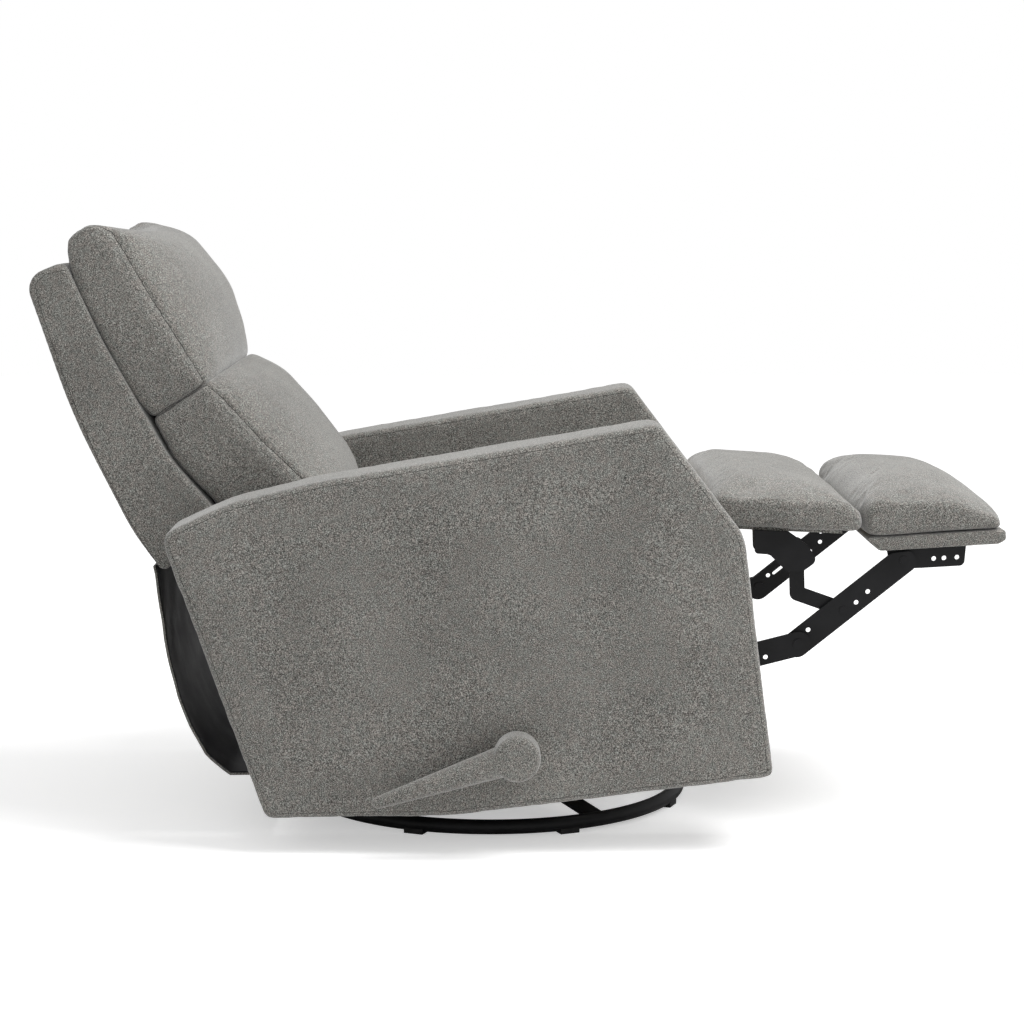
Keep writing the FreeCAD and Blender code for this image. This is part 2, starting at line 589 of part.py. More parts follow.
def strip(points, thickness, radius):
    """Closed outline of a thin bent strip that follows the points, thickness to its inner side."""
    outer = [V(x, 0, z) for x, z in points]
    inner = []
    for i, p in enumerate(outer):
        before = outer[max(i - 1, 0)]
        after = outer[min(i + 1, len(outer) - 1)]
        along = (after - before).normalize()
        inner.append(p + V(-along.z, 0, along.x) * thickness)
    first = [(p.x, p.z, radius if 0 < i < len(outer) - 1 else 0) for i, p in enumerate(outer)]
    second = [(p.x, p.z, radius if 0 < i < len(inner) - 1 else 0) for i, p in enumerate(inner)]
    return first + second[::-1]


apron = plate("apron_cloth", strip(apron_line, S.apron_thickness, 120), [],
              "2 * sizes.apron_half_width")
keep(at_y(apron, S.apron_half_width), "back_apron", BODY)

# Back: hollow upholstered shell around a wooden frame. Here x is forward and z up along the back,
# measured from the back hinge.

shell_front = [(-136.0, 206.0), (-172.0, 300.0), (-204.0, 497.0), (-213.0, S.back_top_v)]
shell_outline = [
    (*shell_front[0], 10), (*shell_front[1], 200), (*shell_front[2], 500), (*shell_front[3], 12),
    (S.back_rear_u + 6.0, S.back_top_v - 2.0, 30), (S.back_rear_u, 400.0, 900),
    (-262.0, 222.0, 300), (-241.0, S.back_bottom_v, 10),
]
shell_hollow = inset(shell_outline, S.back_wall)
shell_hollow[0] = (shell_hollow[0][0] - 2.0, 120.0, 0)
shell_hollow[-1] = (shell_hollow[-1][0] + 4.0, 90.0, 0)
shell_block = plate("back_block", shell_outline, [], "2 * sizes.back_half_width")
shell_core = plate("back_hollow", shell_hollow, [], "2 * sizes.back_half_width - 2 * sizes.back_wall")
at_y(shell_block, S.back_half_width)
at_y(shell_core, S.back_half_width - S.back_wall)
shell = doc.addObject("Part::Cut", "back_shell_cut")
shell.Base = shell_block
shell.Tool = shell_core
doc.recompute()
keep(shell, "back_shell", BACK)

stile_u = (-261.4, -232.0)
stile_v = (300.0, 560.0)
board = S.back_board
boards = []
for side_name, side in SIDES:
    y0 = side * S.back_plate_y
    low_y, high_y = sorted((y0, y0 - side * board))
    boards.append(box(stile_u[0], stile_u[1], low_y, high_y, stile_v[0], stile_v[1]))
rail_reach = S.back_plate_y - board
for v0 in (stile_v[0], (stile_v[0] + stile_v[1]) / 2.0, stile_v[1] - 60.0):
    boards.append(box(stile_u[0], stile_u[0] + board, -rail_reach, rail_reach, v0, v0 + 60.0))
keep(feature("back_boards", Part.makeCompound(boards)), "back_frame", BACK)
row = spring_row(4, 150.0, stile_v[1] - stile_v[0] - 60.0, 8, 2 * S.spring_wave)
row.rotate(V(0, 0, 0), V(0, 1, 0), -90.0)
row.translate(V(stile_u[0] + board + S.spring_wire_radius, 0, stile_v[0] + 30.0))
keep(feature("back_spring_row", row), "back_springs", BACK)

back_plate_outline = [
    (10.0, -20.0, 19), (19.0, 18.0, 19), (-120.0, 74.0, 50), (-196.0, 196.0, 80),
    (-224.0, 310.0, 40), (-226.0, 372.0, 6), (-258.0, 372.0, 6), (-254.0, 300.0, 40),
    (-232.0, 186.0, 80), (-160.0, 44.0, 60),
]
for side_name, side in SIDES:
    holes = [(0, 0, S.pivot_pin_radius + S.running_gap)]
    bracket = plate("back_plate_" + side_name, back_plate_outline, holes, "sizes.mech_plate")
    keep(at_y(bracket, side_y(side, S.back_plate_y, S.mech_plate)), side_name + "_back_bracket", BACK)

crown = S.cushion_crown


def on_shell(v):
    """Point just in front of the shell's front face, at a height along the back."""
    for (u0, v0), (u1, v1) in zip(shell_front, shell_front[1:]):
        if v <= v1:
            return (u0 + (u1 - u0) * (v - v0) / (v1 - v0) + 2 * S.running_gap, v)


head_back = [(*on_shell(600.0), 60), (*on_shell(shell_front[2][1]), 500)]
head_side = [
    (*on_shell(374.0), 12), (-84.0, 392.0, 14), (-100.0, 452.0, 200), (-112.0, 530.0, 200),
    (-130.0, 640.0, 16), (-199.0, 654.0, 26), *head_back,
]
head_middle = [
    (*on_shell(378.0), 12), (-84.0 + crown * 0.4, 388.0, 14), (-100.0 + crown, 440.0, 120),
    (-112.0 + crown * 1.15, 540.0, 200), (-130.0 + crown * 0.8, 636.0, 30),
    (-199.0, 648.0, 26), *head_back,
]
head = crowned(head_side, head_middle, S.cushion_half_width)
lumbar_back = [(*on_shell(shell_front[1][1]), 200), (*on_shell(214.0), 60)]
lumbar_side = [
    (-120.0, 106.0, 14), (20.0, 104.0, 26), (26.0, 170.0, 60), (-40.0, 296.0, 200),
    (-86.0, 376.0, 16), (*on_shell(364.0), 12), *lumbar_back,
]
lumbar_middle = [
    (-120.0, 106.0, 14), (36.0, 108.0, 26), (26.0 + crown * 0.5, 190.0, 60),
    (-40.0 + crown * 0.95, 310.0, 120), (-86.0 + crown * 0.7, 384.0, 26), (*on_shell(366.0), 12),
    *lumbar_back,
]
lumbar_solid = crowned(lumbar_side, lumbar_middle, S.cushion_half_width)
keep(feature("head_cushion_form", head), "head_cushion", BACK)
keep(feature("lumbar_cushion_form", lumbar_solid), "lumbar_cushion", BACK)

# Footrest links, drawn open in the upright body

lower_pivot = (S.lower_pivot_x, S.lower_pivot_z)
knee_pivot = (S.knee_pivot_x, S.knee_pivot_z)
outer_pivot = (S.outer_pivot_x, S.outer_pivot_z)
bent_top = (S.bent_top_x, S.bent_top_z)
bent_foot = (S.bent_foot_x, S.bent_foot_z)
bent_knee = (S.bent_top_x - 4.0, S.bent_top_z - 48.0)
bent_rivet = (S.bent_top_x + 2.0, S.bent_top_z + 24.0)
turn = math.radians(S.tail_angle)
tail_pin = (lower_pivot[0] + S.tail_radius * math.cos(turn), lower_pivot[1] + S.tail_radius * math.sin(turn))
turn = math.radians(S.crank_angle)
crank_pin = (S.drive_x + S.crank_radius * math.cos(turn), S.drive_z + S.crank_radius * math.sin(turn))
hole = S.link_pin_radius + S.running_gap
thick = S.link_thickness
cap_height = S.pin_head_height - 2 * S.running_gap


def layer(outline, side, inner, holes=(), windows=()):
    """One steel leaf on one side, its inner face at the given distance from the middle."""
    low_y, high_y = sorted((side * inner, side * (inner + thick)))
    solid = prism(outline, low_y, high_y)
    for loop in windows:
        solid = solid.cut(prism(loop, low_y - 1.0, high_y + 1.0))
    for x, z, radius in holes:
        solid = solid.cut(pin(x, z, radius, low_y - 1.0, high_y + 1.0))
    return solid


def on_bar(a, b, along, across=0.0):
    """Point on the line from a to b, at a distance along it and to its upper side."""
    length = math.hypot(b[0] - a[0], b[1] - a[1])
    ux, uz = (b[0] - a[0]) / length, (b[1] - a[1]) / length
    return (a[0] + ux * along - uz * across, a[1] + uz * along + ux * across)


half = S.long_bar_half_width
bar_length = math.hypot(outer_pivot[0] - knee_pivot[0], outer_pivot[1] - knee_pivot[1])
long_bar_outline = [(*on_bar(knee_pivot, outer_pivot, along, across), radius) for along, across, radius in (
    (-22.0, -half, 19.0), (bar_length + 18.0, -half, 16.0), (bar_length + 16.0, half - 15.0, 8.0),
    (bar_length - 8.0, half, 20.0), (-22.0, half, 19.0))]

for side_name, side in SIDES:
    # Lower link: bell crank from the side plate to the long bar
    main_arm = layer(bar([lower_pivot, knee_pivot], S.lower_link_half_width), side, S.lower_link_y)
    tail_arm = layer(bar([lower_pivot, tail_pin], S.small_link_half_width), side, S.lower_link_y)
    link = main_arm.fuse(tail_arm)
    for at, radius in ((lower_pivot, hole), (on_bar(lower_pivot, knee_pivot, 142.0, -7.0),
                                             S.bracket_hole_radius)):
        link = link.cut(pin(*at, radius, side * (S.lower_link_y - 1), side * (S.lower_link_y + 9)))
    tail_stud = pin(*tail_pin, S.tail_stud_radius, side * (S.lower_link_y + 1.0),
                    side * (S.lower_link_y - S.pin_head_height + S.running_gap))
    stud_end = side * (S.long_bar_y - S.running_gap)
    stud = pin(*knee_pivot, S.link_pin_radius, side * (S.lower_link_y + 1.0), stud_end)
    cap = pin(*knee_pivot, S.pin_head_radius * 0.8, stud_end, stud_end - side * cap_height)
    back_cap = pin(*knee_pivot, S.pin_head_radius * 0.8, side * (S.lower_link_y + thick),
                   side * (S.lower_link_y + thick + cap_height))
    link = link.multiFuse([stud, cap, back_cap, tail_stud]).removeSplitter()
    keep(feature("lower_link_" + side_name, link), side_name + "_lower_link", BODY)

    # Long bar: flat bar with punched holes; the left one is slotted along its middle
    punched = [(*knee_pivot, hole)]
    for along, across in ((24.0, 6.0), (104.0, -6.0), (127.0, -4.0)):
        punched.append((*on_bar(knee_pivot, outer_pivot, along, across), S.bracket_hole_radius))
    slots = []
    if side > 0:
        for start, end, across in ((34.0, 66.0, 3.0), (138.0, 164.0, 8.0)):
            slot_ends = [on_bar(knee_pivot, outer_pivot, along, across) for along in (start, end)]
            slots.append(bar(slot_ends, S.slot_half_width))
    long_bar = layer(long_bar_outline, side, S.long_bar_y, punched, slots)
    parts = [long_bar]
    for at in (outer_pivot, bent_foot):
        stud_end = side * (S.bent_link_y - S.running_gap)
        parts.append(pin(*at, S.link_pin_radius, side * (S.long_bar_y + 1.0), stud_end))
        parts.append(pin(*at, S.pin_head_radius * 0.8, stud_end, stud_end - side * cap_height))
    face = side * (S.long_bar_y + thick)
    for at in (on_bar(knee_pivot, outer_pivot, 6.0, 10.0), on_bar(knee_pivot, outer_pivot, 8.0, -11.0),
               outer_pivot, bent_foot):
        parts.append(pin(*at, S.rivet_radius, face, face + side * S.rivet_height))
    keep(feature("long_bar_" + side_name, parts[0].multiFuse(parts[1:]).removeSplitter()),
         side_name + "_long_bar", BODY)

    # Bent link between the bridging pad's bracket and the long bar
    upper_half = layer(bar([bent_rivet, bent_knee], S.small_link_half_width), side, S.bent_link_y)
    lower_half = layer(bar([bent_knee, bent_foot], S.small_link_half_width), side, S.bent_link_y)
    bent = upper_half.fuse(lower_half)
    for at in (bent_top, bent_rivet, bent_foot):
        bent = bent.cut(pin(*at, hole, side * (S.bent_link_y - 1), side * (S.bent_link_y + 9)))
    keep(feature("bent_link_" + side_name, bent.removeSplitter()), side_name + "_bent_link", BODY)

# Bridging pad with its board and brackets

pad_a_bottom = [(S.pad_a_rear_x, 415.0), (S.pad_a_front_x, 379.0)]


def pad_line(line, x):
    """Height of a two-point line at x."""
    (x0, z0), (x1, z1) = line
    return z0 + (z1 - z0) * (x - x0) / (x1 - x0)


board_a = prism([
    (S.pad_a_rear_x + 30.0, pad_line(pad_a_bottom, S.pad_a_rear_x + 30.0), 0),
    (S.pad_a_front_x - 20.0, pad_line(pad_a_bottom, S.pad_a_front_x - 20.0), 0),
    (S.pad_a_front_x - 20.0, pad_line(pad_a_bottom, S.pad_a_front_x - 20.0) + S.board_thickness, 0),
    (S.pad_a_rear_x + 30.0, pad_line(pad_a_bottom, S.pad_a_rear_x + 30.0) + S.board_thickness, 0),
], -S.footrest_half_width + 16.0, S.footrest_half_width - 16.0)
pad_a_side = [
    (S.pad_a_rear_x, pad_a_bottom[0][1] + 1.0, 24), (S.pad_a_front_x, pad_a_bottom[1][1] + 1.0, 12),
    (S.pad_a_front_x + 2.0, 432.0, 24), (S.pad_a_rear_x, 472.0, 26),
]
pad_a_middle = [
    pad_a_side[0], pad_a_side[1], (S.pad_a_front_x + 4.0, 432.0 + S.pad_crown, 24),
    (S.pad_a_rear_x, 472.0 + S.pad_crown, 30),
]
pad_a = crowned(pad_a_side, pad_a_middle, S.footrest_half_width).cut(board_a)
keep(feature("bridging_board_form", board_a), "bridging_board", BODY)
keep(feature("bridging_pad_form", pad_a), "bridging_pad", BODY)
pad_flange = (S.pad_flange_front_x, S.pad_flange_rear_x)
pad_bracket_outline = [
    (S.pad_flange_rear_x - 2.0, 370.0, 5), (430.0, 366.0, 6), (452.0, 338.0, 10), (476.0, 335.0, 12),
    (499.0, 348.0, 10), (487.0, 373.0, 14), *((x, pad_line(pad_a_bottom, x), 0) for x in pad_flange),
]


def flange_under(line, ends, side, leaf_y):
    """Level lip of a bracket, screwed to the underside of a board."""
    front, rear = ends
    low_y, high_y = sorted((side * (leaf_y - S.flange_width), side * (leaf_y + 1.0)))
    return prism([
        (rear, pad_line(line, rear) - S.flange_thickness, 0),
        (front, pad_line(line, front) - S.flange_thickness, 0),
        (front, pad_line(line, front), 0), (rear, pad_line(line, rear), 0),
    ], low_y, high_y)


for side_name, side in SIDES:
    flange = flange_under(pad_a_bottom, pad_flange, side, S.pad_bracket_y)
    leaf = layer(pad_bracket_outline, side, S.pad_bracket_y)
    parts = [flange]
    for at in (bent_top, bent_rivet):
        stud_end = side * (S.bent_link_y - S.running_gap)
        parts.append(pin(*at, S.link_pin_radius, side * (S.pad_bracket_y + 1.0), stud_end))
        parts.append(pin(*at, S.pin_head_radius * 0.8, stud_end, stud_end - side * cap_height))
    keep(feature("pad_bracket_form_" + side_name, leaf.multiFuse(parts).removeSplitter()),
         side_name + "_pad_bracket", BODY)

# Footrest pad with its covered board and brackets

board_b_outline = [
    (590.0, 352.0, 6), (764.0, 341.0, 4), (S.pad_b_front_x + 2.0, 346.0, 4),
    (S.pad_b_front_x + 2.0, 361.0, 4), (S.pad_b_rear_x - 7.0, 374.0, 4),
]
board_b_top = [(S.pad_b_rear_x - 7.0, 374.0), (S.pad_b_front_x + 2.0, 361.0)]
board_b = prism(board_b_outline, -S.footrest_half_width + 2.0, S.footrest_half_width - 2.0)
keep(feature("footrest_board_form", board_b), "footrest_board", BODY)
pad_b_side = [
    (S.pad_b_rear_x, pad_line(board_b_top, S.pad_b_rear_x), 10),
    (S.pad_b_front_x, pad_line(board_b_top, S.pad_b_front_x), 3),
    (S.pad_b_front_x - 2.0, 380.0, 6), (716.0, 412.0, 60), (S.pad_b_rear_x, 436.0, 26),
]
pad_b_middle = [
    pad_b_side[0], pad_b_side[1], (S.pad_b_front_x - 1.0, 390.0, 10),
    (722.0, 412.0 + S.pad_crown, 60), (S.pad_b_rear_x - 3.0, 436.0 + S.pad_crown, 28),
]
pad_b = crowned(pad_b_side, pad_b_middle, S.footrest_half_width, 4.0)
pad_b = pad_b.cut(board_b)
keep(feature("footrest_pad_form", pad_b), "footrest_pad", BODY)
board_b_bottom = [(590.0, 352.0), (764.0, 341.0)]
outer_flange = (S.outer_flange_front_x, S.outer_flange_rear_x)
outer_bracket_outline = [
    (S.outer_flange_rear_x + 2.0, 322.0, 8), (650.0, 318.0, 8), (S.outer_flange_front_x - 6.0, 314.0, 8),
    *((x, pad_line(board_b_bottom, x), 0) for x in outer_flange),
]
for side_name, side in SIDES:
    flange = flange_under(board_b_bottom, outer_flange, side, S.bent_link_y)
    punched = [(*outer_pivot, hole)]
    for x in (669.0, 684.0, 703.0):
        punched.append((x, pad_line(board_b_bottom, x) - 17.5, S.bracket_hole_radius))
    leaf = layer(outer_bracket_outline, side, S.bent_link_y, punched)
    keep(feature("outer_bracket_" + side_name, leaf.fuse(flange).removeSplitter()),
         side_name + "_footrest_bracket", BODY)

# Drive tube, cranks, rods and the wrapped handle

hub_y = -(S.handle_hub_inner_y + S.handle_hub_width)
drive_tube = pin(S.drive_x, S.drive_z, S.drive_tube_radius, hub_y + 8.0, S.arm_inner_y - 0.5)
keep(feature("drive_tube_rod", drive_tube), "drive_tube", BODY)
cranks = []
rods = []
for side_name, side in SIDES:
    low_y, high_y = sorted((side * S.crank_y, side * (S.crank_y + thick)))
    leaf = layer(bar([(S.drive_x, S.drive_z), crank_pin], S.crank_half_width), side, S.crank_y)
    leaf = leaf.fuse(pin(S.drive_x, S.drive_z, S.crank_hub_radius, low_y, high_y))
    leaf = leaf.cut(pin(S.drive_x, S.drive_z, S.drive_tube_radius, low_y - 1.0, high_y + 1.0))
    stud_end = side * (S.drive_rod_y - S.running_gap)
    stud = pin(*crank_pin, S.link_pin_radius, side * (S.crank_y + 1.0), stud_end)
    cap = pin(*crank_pin, S.pin_head_radius * 0.8, stud_end, stud_end - side * cap_height)
    cranks.append(leaf.multiFuse([stud, cap]).removeSplitter())
    rod_outline = bar([crank_pin, tail_pin], S.rod_half_width)
    rods.append(layer(rod_outline, side, S.drive_rod_y, [(*crank_pin, hole)]))
keep(feature("drive_crank_pair", Part.makeCompound(cranks)), "drive_cranks", BODY)
keep(feature("drive_rod_pair", Part.makeCompound(rods)), "drive_rods", BODY)

hub_mid = -(S.handle_hub_inner_y + S.handle_hub_width / 2.0)
hub_disc = pin(S.drive_x, S.drive_z, S.handle_hub_radius, hub_y, -S.handle_hub_inner_y)
hub_disc = hub_disc.makeFillet(S.handle_hub_round, [e for e in hub_disc.Edges if e.Length > 10 and e.Closed])
turn = math.radians(S.handle_angle)
reach = S.handle_length - S.handle_tip_radius
lever = Part.makeCone(S.handle_root_radius, S.handle_tip_radius, reach, V(0, 0, 0), V(1, 0, 0))
lever = lever.fuse(Part.makeSphere(S.handle_tip_radius, V(reach, 0, 0)))
lever.rotate(V(0, 0, 0), V(0, 1, 0), -S.handle_angle)
lever.translate(V(S.drive_x, hub_mid, S.drive_z))
core = box(0, reach - 24.0, -4.0, 4.0, -7.0, 7.0)
core.rotate(V(0, 0, 0), V(0, 1, 0), -S.handle_angle)
core.translate(V(S.drive_x, hub_mid, S.drive_z))
tube_solid = drive_tube.copy()
core = core.cut(tube_solid)
wrap = hub_disc.fuse(lever).removeSplitter().cut(core).cut(tube_solid)
keep(feature("handle_core_bar", core), "handle_core", BODY)
keep(feature("handle_wrap_form", wrap), "handle_wrap", BODY)

# Check every object, then write each sub-part

doc.recompute()
for item in doc.Objects:
    for state in item.State:
        if state in ("Invalid", "Error"):
            raise RuntimeError("%s failed: %s" % (item.Name, item.State))
for piece in kept:
    if piece.Shape.isNull() or not piece.Shape.isValid():
        raise RuntimeError("%s has no valid shape" % piece.Label)

os.makedirs("parts", exist_ok=True)
for piece in kept:
    piece.Shape.exportStep("parts/%s.step" % piece.Label)
    print(piece.Label, len(piece.Shape.Solids), round(piece.Shape.Volume))
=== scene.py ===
import bpy
import json
import math
import numpy as np
from mathutils import Matrix, Vector, noise
from mathutils.bvhtree import BVHTree
from mathutils.kdtree import KDTree


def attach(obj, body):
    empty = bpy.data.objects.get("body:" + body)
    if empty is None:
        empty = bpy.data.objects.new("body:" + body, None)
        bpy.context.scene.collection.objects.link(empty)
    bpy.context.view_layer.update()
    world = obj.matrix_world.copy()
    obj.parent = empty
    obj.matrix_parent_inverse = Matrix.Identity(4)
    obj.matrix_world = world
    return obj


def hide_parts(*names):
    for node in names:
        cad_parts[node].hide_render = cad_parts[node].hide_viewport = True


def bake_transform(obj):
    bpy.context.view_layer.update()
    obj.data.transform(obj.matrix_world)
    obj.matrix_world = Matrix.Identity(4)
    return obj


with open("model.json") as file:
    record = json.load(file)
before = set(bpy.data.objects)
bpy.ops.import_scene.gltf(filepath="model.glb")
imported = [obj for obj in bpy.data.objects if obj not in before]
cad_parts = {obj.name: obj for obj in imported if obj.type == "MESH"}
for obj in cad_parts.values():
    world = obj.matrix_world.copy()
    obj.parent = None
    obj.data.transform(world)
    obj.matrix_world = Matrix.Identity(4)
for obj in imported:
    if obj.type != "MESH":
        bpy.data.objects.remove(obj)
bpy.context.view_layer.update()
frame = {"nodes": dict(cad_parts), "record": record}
nodes = frame["nodes"]
scene = bpy.context.scene

# Camera: level with the back's top, square to the chair's side

CAMERA_PLACE = (0.0, -3.75, 0.928)
CAMERA_LENS = 84.9
CAMERA_DOWN = 7.385
CAMERA_ASIDE = -0.494

camera_data = bpy.data.cameras.new("camera")
camera_data.sensor_width = 36.0
camera_data.lens = CAMERA_LENS
camera_data.clip_end = 50.0
camera = bpy.data.objects.new("camera", camera_data)
camera.location = CAMERA_PLACE
camera.rotation_euler = (math.radians(90.0 - CAMERA_DOWN), 0.0, math.radians(CAMERA_ASIDE))
scene.collection.objects.link(camera)
scene.camera = camera

# Places: profiles are in millimetres, upright body (x, z) or along the back (u, v)

MM = 0.001
TILT_AXIS = (0.040, 0.200)
TILT = 7.0
HINGE = (-0.182, 0.358)
RECLINE = 13.0


def turned(x, z, degrees):
    at = Vector((x, 0.0, z))
    turn = Matrix.Rotation(math.radians(-degrees), 4, "Y")
    return Matrix.Translation(at) @ turn @ Matrix.Translation(-at)


BODY = turned(*TILT_AXIS, TILT)
BACK = BODY @ turned(*HINGE, RECLINE) @ Matrix.Translation((HINGE[0], 0.0, HINGE[1]))


def put(place, x, y, z):
    """A point given in millimetres, in the row frame in metres."""
    return place @ Vector((x * MM, y * MM, z * MM))


def rounded(points, steps=8):
    """Closed outline of (x, z, corner radius) as plain points."""
    result = []
    count = len(points)
    for i in range(count):
        corner = Vector(points[i][:2])
        before = (Vector(points[i - 1][:2]) - corner).normalized()
        after = (Vector(points[(i + 1) % count][:2]) - corner).normalized()
        half = before.angle(after) / 2.0
        reach = points[i][2] / math.tan(half)
        start = corner + before * reach
        end = corner + after * reach
        for k in range(steps + 1):
            t = k / steps
            result.append(start * (1 - t) ** 2 + corner * 2 * t * (1 - t) + end * t * t)
    return result


def evenly(points, step, closed=False):
    """Points at an even step along a line of points."""
    line = [Vector(p) for p in points]
    if closed:
        line.append(line[0])
    lengths = [0.0]
    for a, b in zip(line, line[1:]):
        lengths.append(lengths[-1] + (b - a).length)
    count = max(2, int(lengths[-1] / step))
    result = []
    k = 0
    for i in range(count + (0 if closed else 1)):
        at = lengths[-1] * i / count
        while k < len(lengths) - 2 and lengths[k + 1] < at:
            k += 1
        span = max(lengths[k + 1] - lengths[k], 1e-9)
        result.append(line[k].lerp(line[k + 1], (at - lengths[k]) / span))
    return result


def mesh_object(name, vertices, faces):
    mesh = bpy.data.meshes.new(name)
    mesh.from_pydata(vertices, [], faces)
    piece = bpy.data.objects.new(name, mesh)
    scene.collection.objects.link(piece)
    return piece


def lofted(name, loops):
    """Closed solid through loops of the same number of points."""
    size = len(loops[0])
    vertices = [tuple(p) for loop in loops for p in loop]
    faces = []
    for i in range(len(loops) - 1):
        for k in range(size):
            a = i * size + k
            b = i * size + (k + 1) % size
            faces.append((a, b, b + size, a + size))
    faces.append(tuple(reversed(range(size))))
    faces.append(tuple((len(loops) - 1) * size + k for k in range(size)))
    return mesh_object(name, vertices, faces)


def cad_copy(name, node):
    """A new piece that starts as a copy of a node's form."""
    piece = bpy.data.objects.new(name, nodes[node].data.copy())
    piece.data.materials.clear()
    scene.collection.objects.link(piece)
    return piece


def baked(piece):
    """Put what the modifiers do into the mesh."""
    graph = bpy.context.evaluated_depsgraph_get()
    mesh = bpy.data.meshes.new_from_object(piece.evaluated_get(graph), depsgraph=graph)
    piece.modifiers.clear()
    piece.data = mesh
    return piece


def voxels(piece, size, smooth=2):
    """Even quads all over, with the corners eased."""
    remesh = piece.modifiers.new("remesh", "REMESH")
    remesh.mode = "VOXEL"
    remesh.voxel_size = size
    ease = piece.modifiers.new("ease", "SMOOTH")
    ease.factor = 0.5
    ease.iterations = smooth
    return baked(piece)


def finer(piece):
    piece.modifiers.new("finer", "SUBSURF").levels = 1
    return baked(piece)


def points_of(piece):
    flat = np.empty(len(piece.data.vertices) * 3)
    piece.data.vertices.foreach_get("co", flat)
    return flat.reshape(-1, 3)


def set_points(piece, points):
    piece.data.vertices.foreach_set("co", points.ravel())
    piece.data.update()


def normals_of(piece):
    flat = np.empty(len(piece.data.vertices) * 3)
    piece.data.vertices.foreach_get("normal", flat)
    return flat.reshape(-1, 3)


def smooth_shaded(piece):
    piece.data.polygons.foreach_set("use_smooth", [True] * len(piece.data.polygons))


CLOTH_FRAMES = 20
CLOTH_STRETCH = 12.0
CLOTH_SHEAR = 4.0
CLOTH_BENDING = 0.6
CLOTH_PRESSURE = 3.0


def inflated(piece, cap, held):
    """Swell the cover as cloth over its filling; held gives how firmly each point stays."""
    before = points_of(piece)
    group = piece.vertex_groups.new(name="held")
    for i, weight in enumerate(held):
        if weight > 0.0:
            group.add([i], float(weight), "REPLACE")
    cloth = piece.modifiers.new("cloth", "CLOTH")
    cloth.point_cache.frame_start = 1
    cloth.point_cache.frame_end = CLOTH_FRAMES
    settings = cloth.settings
    settings.quality = 4
    settings.mass = 0.3
    settings.tension_stiffness = CLOTH_STRETCH
    settings.compression_stiffness = CLOTH_STRETCH
    settings.shear_stiffness = CLOTH_SHEAR
    settings.bending_stiffness = CLOTH_BENDING
    settings.use_pressure = True
    settings.uniform_pressure_force = CLOTH_PRESSURE
    settings.vertex_group_mass = "held"
    settings.effector_weights.gravity = 0.0
    for step in range(1, CLOTH_FRAMES + 1):
        scene.frame_set(step)
    baked(piece)
    scene.frame_set(1)
    after = points_of(piece)
    move = after - before
    length = np.linalg.norm(move, axis=1, keepdims=True)
    move *= np.minimum(1.0, cap / np.maximum(length, 1e-9))
    set_points(piece, before + move)
    piece.vertex_groups.clear()
    return piece


def near(points, line):
    """Distance of each point to the nearest point of a line."""
    tree = KDTree(len(line))
    for i, p in enumerate(line):
        tree.insert(p, i)
    tree.balance()
    return np.array([tree.find(p)[2] for p in points])


PUCKER_REACH = 0.022
PUCKER_SCALE = 55.0
PUCKER_HEIGHT = 0.0014


def pressed(piece, line, depth, width):
    """Draw the cover in along a seam, with small puckers beside it."""
    points = points_of(piece)
    gap = near(points, line)
    normals = normals_of(piece)
    dip = np.where(gap < width, depth * (1.0 - np.minimum(gap / width, 1.0)) ** 2, 0.0)
    reach = np.exp(-gap / PUCKER_REACH)
    waves = np.array([
        noise.noise(Vector(p) * PUCKER_SCALE) if r > 0.05 else 0.0 for p, r in zip(points, reach)
    ])
    set_points(piece, points - normals * (dip - waves * reach * PUCKER_HEIGHT)[:, None])


def undulated(piece, amount, scale, seed=0.0):
    """Slow, soft unevenness of filling under cloth."""
    points = points_of(piece)
    shift = Vector((seed, seed * 0.7, 0.0))
    waves = np.array([noise.noise(Vector(p) * scale + shift) for p in points])
    set_points(piece, points + normals_of(piece) * (waves * amount)[:, None])


def on_cover(piece, points, sink=0.0):
    """Points moved to the nearest place on a piece's surface, sunk into it by a distance."""
    corners = [v.co for v in piece.data.vertices]
    tree = BVHTree.FromPolygons(corners, [tuple(f.vertices) for f in piece.data.polygons])
    result = []
    for p in points:
        at, normal, _, _ = tree.find_nearest(Vector(p))
        result.append(at - normal * sink)
    return result


# Seam lines are painted shade: near-black tubes laid into the crease of each seam
SEAM_STEP = 0.004
SEAM_SINK = 0.55


def seam_shade_line(name, cover, path, body, radius=0.0005, closed=False):
    """Near-black line sunk into a seam: painted shade of the seam's crease."""
    points = on_cover(cover, evenly(path, SEAM_STEP, closed), sink=radius * SEAM_SINK)
    curve = bpy.data.curves.new(name, "CURVE")
    curve.dimensions = "3D"
    curve.bevel_depth = radius
    curve.bevel_resolution = 1
    spline = curve.splines.new("POLY")
    spline.points.add(len(points) - 1)
    for target, p in zip(spline.points, points):
        target.co = (*p, 1.0)
    spline.use_cyclic_u = closed
    line = bpy.data.objects.new(name, curve)
    scene.collection.objects.link(line)
    graph = bpy.context.evaluated_depsgraph_get()
    mesh = bpy.data.meshes.new_from_object(line.evaluated_get(graph))
    bpy.data.objects.remove(line)
    piece = bpy.data.objects.new(name, mesh)
    scene.collection.objects.link(piece)
    dress(piece, "seam_shade")
    smooth_shaded(piece)
    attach(piece, body)


STITCH_STEP = 0.0058
STITCH_SIZE = (0.0006, 0.0006, 0.0021)
STITCH_LIFT = 0.0001
ROW_STEP = 0.003


